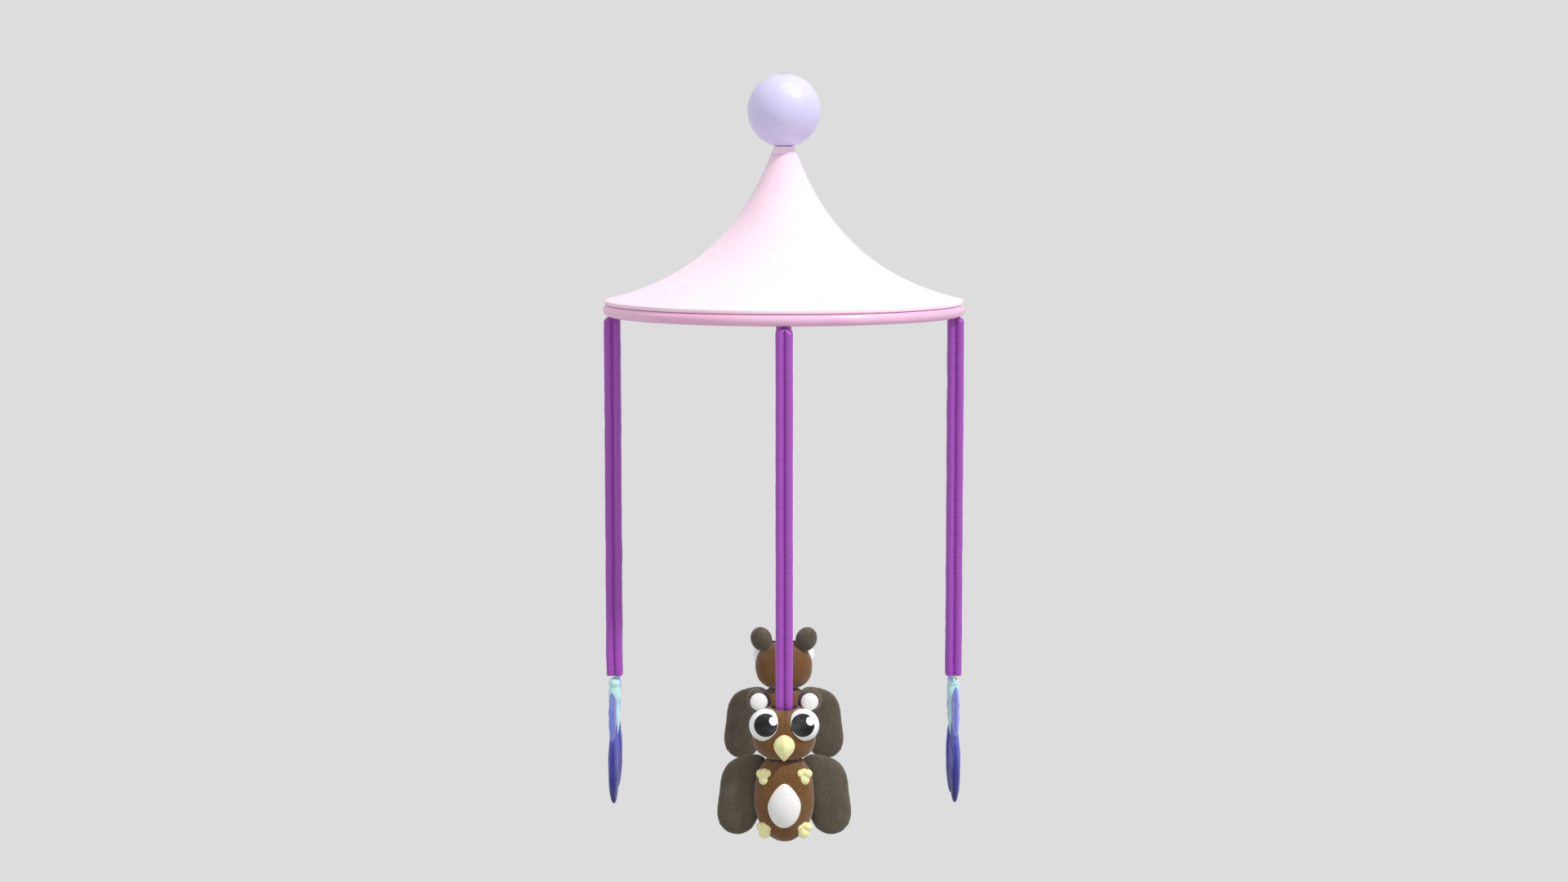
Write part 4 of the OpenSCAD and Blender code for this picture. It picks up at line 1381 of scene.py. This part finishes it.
@dataclass
class Owl(Toy):
    """A stuffed felt owl: head, body, ears, eyes, beak, belly patch, wings, hands and feet."""

    kind: ClassVar[str] = "owl"
    wing: Quilt = None
    head_size: tuple[float, float, float] = (54.0, 46.0, 51.0)
    head_middle: float = -19.5
    cheeks: float = -21.5
    body_size: tuple[float, float, float] = (53.0, 42.0, 77.0)
    body_middle: float = -79.5
    body_back: float = 1.5
    neck: float = -43.0
    crown_hole: float = 10.4
    eye_radius: float = 14.5
    eye_at: tuple[float, float] = (16.0, -12.0)
    pupil_radius: float = 10.9
    pupil_up: float = 3.0
    glint_radius: float = 3.9
    glint_off: tuple[float, float, float] = (6.6, 2.0, 3.2)
    ear: float = 21.0
    ear_at: tuple[float, float, float] = (22.0, 7.0, 6.5)
    ear_lean: float = 24.0
    beak_size: tuple[float, float, float] = (18.0, 14.4, 23.0)
    beak_top: float = -18.0
    belly_size: tuple[float, float, float] = (29.0, 12.0, 42.0)
    belly_drop: float = 1.5
    claw_width: float = 15.0
    claw_x: float = 17.0

    def build(self, frame: dict) -> None:
        """Makes all of the owl's pieces.
        """
        makers = (("head", self.head, "brown_felt", 0.8), ("body", self.body, "brown_felt", 0.85),
                  ("ears", self.ears, "wing_felt", 0.6), ("inner_ears", self.inner_ears, "white_felt", 0.5),
                  ("beak", self.beak, "cream_felt", 0.8), ("belly", self.belly, "white_felt", 0.5),
                  ("wings", self.wings, "wing_felt", 0.6), ("claws", self.claws, "cream_felt", 0.7),
                  ("eyeballs", self.eyeballs, "eye_plastic", None), ("pupils", self.pupils, "pupil_plastic", None))
        for part, maker, paint, fill in makers:
            self.add(part, maker(), paint, fill)
        # Painted highlight: a white dot on each pupil.
        self.trim("glints", self.glints(), "eye_plastic", "eye_plastic")
        self.trim("head_stitching", self.head_seams(), "brown_thread", "brown_felt")
        self.trim("body_stitching", self.body_seams(), "brown_thread", "brown_felt")
        self.trim("wing_stitching", self.wing_seams(), "brown_thread", "wing_felt")
        self.trim("belly_stitching", self.belly_seams(), "white_thread", "white_felt")
        self.dress(frame, "stem_steel", f"{self.owner}_stem")

    @staticmethod
    def fullness(n: Vector, power: float) -> float:
        """How far a unit egg reaches in a direction: 1 at a power of 2, and squarer at a higher one."""
        return sum(abs(c) ** power for c in n) ** (-1.0 / power) if power != 2.0 else 1.0

    def egg(self, size: Point, centre: Point, n: Vector, power: float = 2.0) -> Vector:
        """A point of an egg's skin."""
        full = self.fullness(n, power)
        return Vector([centre[i] + 0.5 * size[i] * n[i] * full for i in range(3)])

    @staticmethod
    def bulge(size: Point, middle: float, x: float, z: float) -> float:
        """How far an egg stands out in front of its middle."""
        w, d, h = size
        return d / 2 * sqrt(max(1.0 - (2 * x / w) ** 2 - (2 * (z - middle) / h) ** 2, 0.0))

    def head_face(self, x: float, z: float) -> float:
        """y of the head's face at a place."""
        return -self.bulge(self.head_size, self.head_middle, x, z)

    def body_front(self, x: float, z: float) -> float:
        """y of the body's front at a place."""
        return self.body_back - self.bulge(self.body_size, self.body_middle, x, z)

    def lumps(self, p: Vector, seed: float, amount: float) -> Vector:
        """Gentle lumps of the filling."""
        where = p * 0.075 + Vector((seed, self.place.turn, 0.0))
        return Vector([noise.noise(where + Vector((9.1 * i, 3.7 * i, 0.0))) for i in range(3)]) * amount

    def head(self) -> Shape:
        """The head, broad at the cheeks: two halves sewn down the middle, sunk where the strap comes in."""
        w, d, h = self.head_size
        top, bottom = self.head_middle + h / 2, self.head_middle - h / 2

        def skin(n: Vector) -> Vector:
            """The head's skin in a direction, with its seam, its sunk crown and its flat neck."""
            power = 2.0 + 0.35 * unit(-2.2 * n.z)
            size = self.fullness(n, power)
            reach = (top - self.cheeks if n.z > 0 else self.cheeks - bottom)
            p = Vector((n.x * size * (w / 2 + 1.0), n.y * size * d / 2, self.cheeks + n.z * size * reach))
            pucker = 0.85 + 0.35 * cos(tau * atan2(n.z, n.y) * 9.0)
            groove = 0.75 * bell(p.x, 0.85) + 0.28 * bell(p.x, 3.2)
            p = p + self.lumps(p, 1.0, 0.45) - n * groove * pucker
            middle = hypot(p.x, p.y)
            if n.z > 0 and middle < self.crown_hole + 2.5:
                share = unit((self.crown_hole + 2.5 - middle) / 3.0)
                floor = -2.6 + 0.5 * cos(8 * atan2(p.y, p.x))
                p.z = p.z + (floor - p.z) * share * share * (3 - 2 * share)
            low = self.neck - 0.4
            if p.z < low + 3.0:
                p.z = low + 3.0 - 3.0 * tanh((low + 3.0 - p.z) / 3.0)
            return p

        return ball_shape(skin, detail=6)

    def body(self) -> Shape:
        """The body: a full pear with seams down its sides and a gathered neck."""
        centre = (0.0, self.body_back, self.body_middle)

        def skin(n: Vector) -> Vector:
            """The body's skin in a direction, with its side seams and its gathered neck."""
            p = self.egg(self.body_size, centre, n, power=2.0 + 0.7 * unit(1.6 * n.z))
            groove = 0.7 * bell(p.y - self.body_back, 0.9)
            high = self.neck - 0.2
            near_neck = unit((p.z - (high - 14.0)) / 14.0)
            pleat = 0.35 * near_neck * cos(14 * atan2(n.y, n.x))
            p = p + self.lumps(p, 5.0, 0.5) - n * (groove + pleat + 0.2)
            if p.z > high - 2.0:
                p.z = high - 2.0 + 2.0 * tanh((p.z - high + 2.0) / 2.0)
            return p

        return ball_shape(skin, detail=6)

    def ear_matrix(self, back: float) -> Matrix:
        """Places an ear, which leans outwards from the middle."""
        x, y, z = self.ear_at
        return Matrix.Translation((x, y - back, z)) @ Matrix.Rotation(radians(self.ear_lean), 4, "Y")

    def ears(self) -> Shape:
        """Two round ears with a sewn edge."""

        def skin(n: Vector) -> Vector:
            """An ear's skin in a direction, cupped in front."""
            p = self.egg((self.ear, 0.8 * self.ear, 1.15 * self.ear), (0.0, 0.0, 0.0), n)
            groove = 0.55 * bell(p.y, 0.7)
            cup = 1.4 * bell(p.x, 5.0) * bell(p.z + 1.0, 6.0) if n.y < 0 else 0.0
            return p - n * groove + Vector((0.0, cup, 0.0)) + self.lumps(p, 8.0, 0.3)

        return ball_shape(skin).moved(self.ear_matrix(0.0)).both_sides()

    def inner_ears(self) -> Shape:
        """Two white pads on the ears' fronts."""
        size = (0.72 * self.ear, 0.3 * self.ear, 0.74 * self.ear)

        def skin(n: Vector) -> Vector:
            """A pad's skin in a direction."""
            p = self.egg(size, (0.0, 0.0, 0.0), n)
            return p + self.lumps(p, 11.0, 0.25)

        return ball_shape(skin).moved(self.ear_matrix(0.36 * self.ear)).both_sides()

    def eye_centre(self) -> Vector:
        """The middle of the right eyeball."""
        x, z = self.eye_at
        return Vector((x, self.head_face(x, z) + 0.48 * self.eye_radius, z))

    def eyeballs(self) -> Shape:
        """Two polished domes with a fine moulded rim round the pupil."""
        tilt = self.pupil_tilt()

        def skin(n: Vector) -> Vector:
            """An eyeball's skin in a direction, with a fine lip round the pupil."""
            away = n.angle(tilt) * self.eye_radius
            lip = 0.28 * bell(away - self.pupil_radius - 0.7, 0.55)
            return n * (self.eye_radius + lip) + self.eye_centre()

        return ball_shape(skin, detail=6).both_sides()

    def pupil_tilt(self) -> Vector:
        """The direction that a pupil looks in: forwards and a little up."""
        up = asin(self.pupil_up / self.eye_radius)
        return Vector((0.0, -cos(up), sin(up)))

    def cap(self, aim: Vector, radius: float, low: float, high: float) -> Shape:
        """A thin domed cap that lies on an eyeball.

        Args:
            aim: the direction from the eyeball's middle to the cap's.
            radius: the cap's own radius, along the ball.
            low: its underside's height over the ball's surface.
            high: its top's height over the ball's surface.

        Returns:
            The cap, about the eyeball's middle.
        """
        spread = radius / self.eye_radius
        turn = Vector((0.0, 0.0, 1.0)).rotation_difference(aim).to_matrix().to_4x4()
        profile = [(0.02, low), (1.0, low), (1.0, low * 0.4 + high * 0.4), (0.985, high * 0.8), (0.95, high)]
        dome = (high - low) * 0.25
        profile += [(0.95 * (1 - i / 9), high + dome * sin(pi / 2 * i / 9)) for i in range(1, 9)]
        profile += [(0.02, high + dome)]
        rings = []
        for share, lift in profile:
            angle, reach = share * spread, self.eye_radius + lift
            out, up = reach * sin(angle), reach * cos(angle)
            rings.append([Vector((out * cos(a), out * sin(a), up)) for a in around(72)])
        return loft(rings).moved(turn)

    def pupils(self) -> Shape:
        """Two black caps, a little proud of the eyeballs."""
        cap = self.cap(self.pupil_tilt(), self.pupil_radius, -0.4, 0.62)
        return cap.moved(Matrix.Translation(self.eye_centre())).both_sides()

    def glints(self) -> Shape:
        """A white dot on each pupil, both on the same side of it: a painted highlight."""
        aim = (self.pupil_tilt() * self.eye_radius + Vector(self.glint_off)).normalized()
        dot = self.cap(aim, self.glint_radius, 0.3, 0.92)
        centre = self.eye_centre()
        other = Vector((-centre.x, centre.y, centre.z))
        return Shape().add(dot.moved(Matrix.Translation(centre))).add(dot.moved(Matrix.Translation(other)))

    def beak(self) -> Shape:
        """A stuffed teardrop, broad above and pointed below."""
        width, depth, height = self.beak_size

        def skin(n: Vector) -> Vector:
            """The beak's skin in a direction, with a ridge down its front."""
            down = (1.0 - n.z) / 2
            narrow = 1.0 + 0.10 * sin(pi * down) - 0.66 * down ** 2.6
            p = Vector((n.x * width / 2 * narrow, n.y * depth / 2 * narrow, self.beak_top - height * down))
            ridge = 0.9 * bell(p.x, 3.0) if n.y < 0 else 0.0
            p.y += self.head_face(0.0, -27.0) - ridge
            return p + self.lumps(p, 14.0, 0.25)

        return ball_shape(skin)

    def belly(self) -> Shape:
        """A raised white egg, broadest low down."""
        width, thick, height = self.belly_size
        middle = self.body_middle - self.belly_drop

        def skin(n: Vector) -> Vector:
            """The patch's skin in a direction, bowed to follow the body."""
            slim = 1.0 - 0.27 * max(n.z, 0.0) ** 1.2 + 0.03 * max(-n.z, 0.0)
            p = Vector((n.x * width / 2 * slim, n.y * thick / 2, n.z * height / 2))
            bow = self.body_front(0.0, middle) - self.body_front(p.x * 0.9, middle + p.z * 0.9)
            p += Vector((0.0, self.body_front(0.0, middle) + 2.2 - bow * 0.9, middle))
            return p + self.lumps(p, 17.0, 0.2)

        return ball_shape(skin)

    @staticmethod
    def wing_outline() -> list[Vector]:
        """The right wing's outline."""
        return hull_outline(((22.5, -49.0, 8.0), (37.0, -62.0, 18.0), (41.0, -95.0, 18.0)), soft=50)

    def wing_places(self) -> Matrix:
        """Where the right wing hangs."""
        return Matrix.Translation((0.0, self.body_back + 4.5, 0.0))

    def wings(self) -> Shape:
        """The two stuffed wings."""
        return self.wing.shape.moved(self.wing_places()).both_sides()

    def claws(self) -> Shape:
        """Two hands and two feet, each of three toes and a heel."""
        r = 0.27 * self.claw_width
        reach = self.claw_width / 2 - r
        claw = Shape()
        for x, z, scale in ((-1.0, 0.62, 1.0), (0.0, 0.95, 0.85), (1.0, 0.62, 1.0)):
            claw.add(mass((2 * r * scale,) * 3, (x * reach, -0.4, z * r), 3))
        claw.add(mass((2.6 * r, 2.1 * r, 2.6 * r), (0.0, -0.3, -0.65 * r), 3))
        claw = fused(claw, 0.42, 6)
        claws = Shape()
        hands, feet = self.body_middle + 0.292 * self.body_size[2], self.body_middle - self.body_size[2] / 2 + 13.0
        for z, out in ((hands, 2.4), (feet, 1.2)):
            spot = (self.claw_x, self.body_front(self.claw_x, z) - out, z)
            claws.add(claw.moved(Matrix.Translation(spot)))
        return claws.both_sides()

    def seam_run(self, path: Sequence[Vector], outwards: Callable[[Vector], Vector], step: float,
                 half: float, radius: float = 0.26) -> Shape:
        """Ladder stitches that cross a seam.

        Args:
            path: the seam's line.
            outwards: the surface's outward direction at a point.
            step: the distance between stitches.
            half: half of a stitch's length.
            radius: the thread's radius.

        Returns:
            The stitches.
        """
        run = Shape()
        spots = resampled(path, step, closed=False)
        for a, b in zip(spots, spots[1:]):
            out, along = outwards(a), (b - a).normalized()
            across = along.cross(out).normalized() * half
            slant = along * half * 0.45
            run.add(stitch(a - across - slant, a + across + slant, radius, out * 0.34))
        return run

    def head_seams(self) -> Shape:
        """Stitches up the back of the head and over its crown."""
        _, d, h = self.head_size
        centre = Vector((0.0, 0.0, self.head_middle))
        path = arc(centre, Vector((0.0, d / 2 - 0.55, 0.0)), h / 2 - 0.55, -38.0, 62.0, 60)
        return self.seam_run(path, lambda p: (p - centre).normalized(), 3.1, 1.25)

    def body_seams(self) -> Shape:
        """Stitches up both sides of the body, under the wings."""
        w, _, h = self.body_size
        centre = Vector((0.0, self.body_back, self.body_middle))
        path = arc(centre, Vector((w / 2 - 0.5, 0.0, 0.0)), h / 2 - 0.5, -88.0, 50.0, 70)
        return self.seam_run(path, lambda p: (p - centre).normalized(), 3.1, 1.2).both_sides()

    def wing_seams(self) -> Shape:
        """Whip stitches over the wings' sewn edge."""
        return self.wing.edging(2.9, 1.25, 0.2).moved(self.wing_places()).both_sides()

    def belly_seams(self) -> Shape:
        """Small stitches that hold the belly patch."""
        width, height = self.belly_size[0] - 0.4, self.belly_size[2] - 0.4
        middle = self.body_middle - self.belly_drop
        path = []
        for a in around(90):
            slim = 1.0 - 0.27 * max(sin(a), 0.0) ** 1.2
            x, z = width / 2 * slim * cos(a), middle + height / 2 * sin(a)
            path.append(Vector((x, self.body_front(x, z) + 0.1, z)))
        spots = resampled(path, 2.6)
        run = Shape()
        for a in spots:
            away = Vector((a.x, 0.0, a.z - middle)).normalized()
            start = a + away * 0.7
            finish = a - away * 0.8
            start.y = self.body_front(start.x, start.z) + 0.15
            finish.y = start.y - 0.9
            run.add(stitch(start, finish, 0.17, Vector((0.0, -0.25, 0.0))))
        return run


# ---------------------------------------------------------------- butterflies


@dataclass
class Butterfly(Toy):
    """A stuffed plush butterfly: head and body, feelers, and two pairs of quilted wings."""

    kind: ClassVar[str] = "butterfly"
    fore: Quilt = None
    hind: Quilt = None
    lean: float = 3.5
    pivot: float = -34.5
    head: tuple[float, float] = (11.0, -7.5)
    chest: tuple[float, float, float] = (11.7, 26.0, -18.0)
    tail: tuple[float, float, float] = (9.6, 50.0, -35.0)
    feeler: tuple[float, float, float] = (12.5, -17.3, 14.8)
    feeler_arc: tuple[float, float] = (70.0, 124.0)
    wire: float = 0.8

    @property
    def matrix(self) -> Matrix:
        """From the butterfly's millimetres to the frame, with its lean."""
        tilt = Matrix.Rotation(radians(self.lean), 4, "Y")
        to_pivot = Matrix.Translation((0.0, 0.0, self.pivot))
        return self.place.matrix @ to_pivot @ tilt @ to_pivot.inverted()

    @staticmethod
    def fore_outline() -> list[Vector]:
        """The forewing's outline."""
        return hull_outline(((7.0, -26.0, 5.0), (47.0, -16.0, 11.0), (44.0, -41.0, 10.0)), soft=12)

    @staticmethod
    def hind_outline() -> list[Vector]:
        """The hindwing's outline."""
        return hull_outline(((6.0, -46.0, 4.0), (35.04, -69.0, 16.0), (25.44, -101.0, 14.0)), soft=16)

    def build(self, frame: dict) -> None:
        """Makes all of the butterfly's pieces.
        """
        self.add("body", self.trunk(), "mint_plush", 0.9)
        self.add("antennae", self.feelers(), "mint_plush")
        self.add("forewings", self.fore.shape.both_sides(), "blue_plush", 0.7)
        self.add("hindwings", self.hind.shape.both_sides(), "navy_plush", 0.7)
        self.trim("forewing_stitching", self.stitching(self.fore), "blue_thread", "blue_plush")
        self.trim("hindwing_stitching", self.stitching(self.hind), "navy_thread", "navy_plush")
        self.trim("body_stitching", self.trunk_seam(), "mint_thread", "mint_plush")
        self.dress(frame, "stem_steel", f"{self.owner}_stem")

    def trunk(self) -> Shape:
        """Head, chest and tail in one soft skin."""
        parts, (head_d, head_z) = Shape(), self.head
        for width, length, middle in ((head_d, head_d, head_z), self.chest, self.tail):
            parts.add(mass((width, width, length), (0.0, 0.0, middle), 4))
        skin = fused(parts, 0.55, 5)

        def finished(p: Vector) -> Vector:
            """A point of the skin with its back seam and slight lumps."""
            groove = 0.35 * bell(p.x, 0.6) if p.y > 0 else 0.0
            lump = noise.noise(p * 0.21) * 0.22
            out = Vector((p.x, p.y, 0.0)).normalized() if hypot(p.x, p.y) > 0.5 else Vector()
            return p + out * (lump - groove)

        return skin.bent(finished)

    def trunk_seam(self) -> Shape:
        """Ladder stitches down the back of the body."""
        run = Shape()
        width, length, middle = self.chest
        tail_w, tail_l, tail_z = self.tail
        z = middle + 6.0
        while z > tail_z - 0.42 * tail_l:
            reach = max(width / 2 * sqrt(max(1 - (2 * (z - middle) / length) ** 2, 0.0)),
                        tail_w / 2 * sqrt(max(1 - (2 * (z - tail_z) / tail_l) ** 2, 0.0)))
            run.add(stitch(Vector((-0.8, reach - 0.3, z)), Vector((0.8, reach - 0.3, z - 0.5)), 0.17,
                           Vector((0.0, 0.25, 0.0))))
            z -= 2.4
        return run

    def feelers(self) -> Shape:
        """Two curved feelers of covered wire with a knob at each tip."""
        x, z, bend = self.feeler
        path = arc(Vector((x, 0.0, z)), Vector((bend, 0.0, 0.0)), bend, *self.feeler_arc, 25)
        feeler = tube(path, lambda u: self.wire * (1.0 + 0.06 * cos(26.0 * pi * u)), sides=14)
        feeler.add(mass((3.2 * self.wire,) * 3, path[0], 3))
        return feeler.both_sides()

    @staticmethod
    def stitching(wing: Quilt) -> Shape:
        """The edge stitches and the quilting of a pair of wings."""
        return Shape().add(wing.edging(2.8, 0.8, 0.15)).add(wing.quilting(2.0, 1.1, 0.17)).both_sides()


# ---------------------------------------------------------------- studio


@dataclass
class Studio:
    """A pale floor, soft light, and a camera that looks in from the front, level with the ball."""

    backdrop: float = 0.723
    floor_level: float = -1.7
    floor_radius: float = 9.0
    camera_at: Point = (-0.003, -2.546, -0.0585)
    aim_at: Point = (0.0, 0.0, -0.335)
    lens: float = 64.0
    floor_grey: float = 0.45
    floor_fade: tuple[float, float] = (1.5, 3.2)

    def build(self) -> None:
        """Sets the whole studio up."""
        scene = bpy.context.scene
        scene.view_settings.view_transform = "Standard"
        self.world(scene)
        self.floor()
        self.lamp("key", "SUN", (1.6, -1.1, 1.9), (0.0, 0.0, -0.3), 2.1, angle=radians(3.5))
        self.lamp("top", "AREA", (0.4, -0.5, 1.9), (0.0, 0.0, -0.4), 9.0, size=1.4)
        self.camera(scene)

    def world(self, scene: bpy.types.Scene) -> None:
        """An even pale surround."""
        scene.world = bpy.data.worlds.new("surround")
        scene.world.use_nodes = True
        tree = Tree(scene.world.node_tree)
        sky = tree.add("Background", {"Color": (self.backdrop,) * 3, "Strength": 1.0})
        tree.add("OutputWorld", {"Surface": sky.outputs[0]})

    def floor(self) -> None:
        """A round floor that fades into the surround."""
        rim = [Vector((self.floor_radius * cos(a), self.floor_radius * sin(a), self.floor_level))
               for a in around(96)]
        mesh = bpy.data.meshes.new("floor")
        mesh.from_pydata(rim, [], [tuple(range(96))])
        material = bpy.data.materials.new("floor")
        material.use_nodes = True
        t = Tree(material.node_tree)
        away = t.add("VectorMath", {0: t.add("TexCoord").outputs["Object"]}, operation="LENGTH").outputs["Value"]
        matt = t.add("BsdfDiffuse", {"Color": (self.floor_grey,) * 3})
        far = t.add("Emission", {"Color": (self.backdrop,) * 3, "Strength": 1.0})
        mixed = t.add("MixShader", {0: t.ramp(away, *self.floor_fade), 1: matt.outputs[0], 2: far.outputs[0]})
        t.add("OutputMaterial", {"Surface": mixed.outputs[0]})
        mesh.materials.append(material)
        put("floor", mesh)

    @staticmethod
    def aimed(thing: bpy.types.Object, at: Point, aim: Point) -> bpy.types.Object:
        """Stands a light or a camera at a place and turns it to another."""
        thing.location = at
        thing.rotation_euler = (Vector(aim) - Vector(at)).to_track_quat("-Z", "Y").to_euler()
        return thing

    def lamp(self, name: str, kind: str, at: Point, aim: Point, strength: float, **settings: float) -> None:
        """Adds one light.

        Args:
            name: the light's name.
            kind: "SUN" or "AREA".
            at: where it stands.
            aim: what it points at.
            strength: its strength, or its power.
            settings: its other properties.
        """
        data = bpy.data.lights.new(name, kind)
        data.energy = strength
        for key, value in settings.items():
            setattr(data, key, value)
        self.aimed(put(name, data), at, aim)

    def camera(self, scene: bpy.types.Scene) -> None:
        """Adds the camera."""
        data = bpy.data.cameras.new("camera")
        data.lens = self.lens
        scene.camera = self.aimed(put("camera", data), self.camera_at, self.aim_at)


# ---------------------------------------------------------------- the whole mobile


def main() -> None:
    """Builds the mobile's looks over the CAD frame."""
    logging.basicConfig(level=logging.INFO, format="%(name)s: %(message)s")
    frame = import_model()
    places = Place.all(frame)
    Canopy().build(frame)
    for place in places:
        Strap(place=place).build(frame)
    wing = Quilt.make("owl_wing", Owl.wing_outline(), 14.0, looseness=0.3)
    fore = Quilt.make("forewing", Butterfly.fore_outline(), 6.9,
                      lines=(((11.0, -25.0), (51.0, -15.0)), ((11.0, -27.0), (48.0, -40.0)),
                             ((16.0, -25.5), (52.0, -27.5))))
    hind = Quilt.make("hindwing", Butterfly.hind_outline(), 10.0,
                      lines=(((9.0, -49.0), (45.0, -66.0)), ((9.0, -51.0), (38.0, -88.0)),
                             ((8.5, -53.0), (25.0, -108.0))))
    log.info("the wings' quilts are sewn")
    for place in (places[0], places[2]):
        Owl(place=place, wing=wing).build(frame)
    for place in (places[1], places[3]):
        Butterfly(place=place, fore=fore, hind=hind).build(frame)
    Studio().build()


if __name__ == "__main__":
    main()
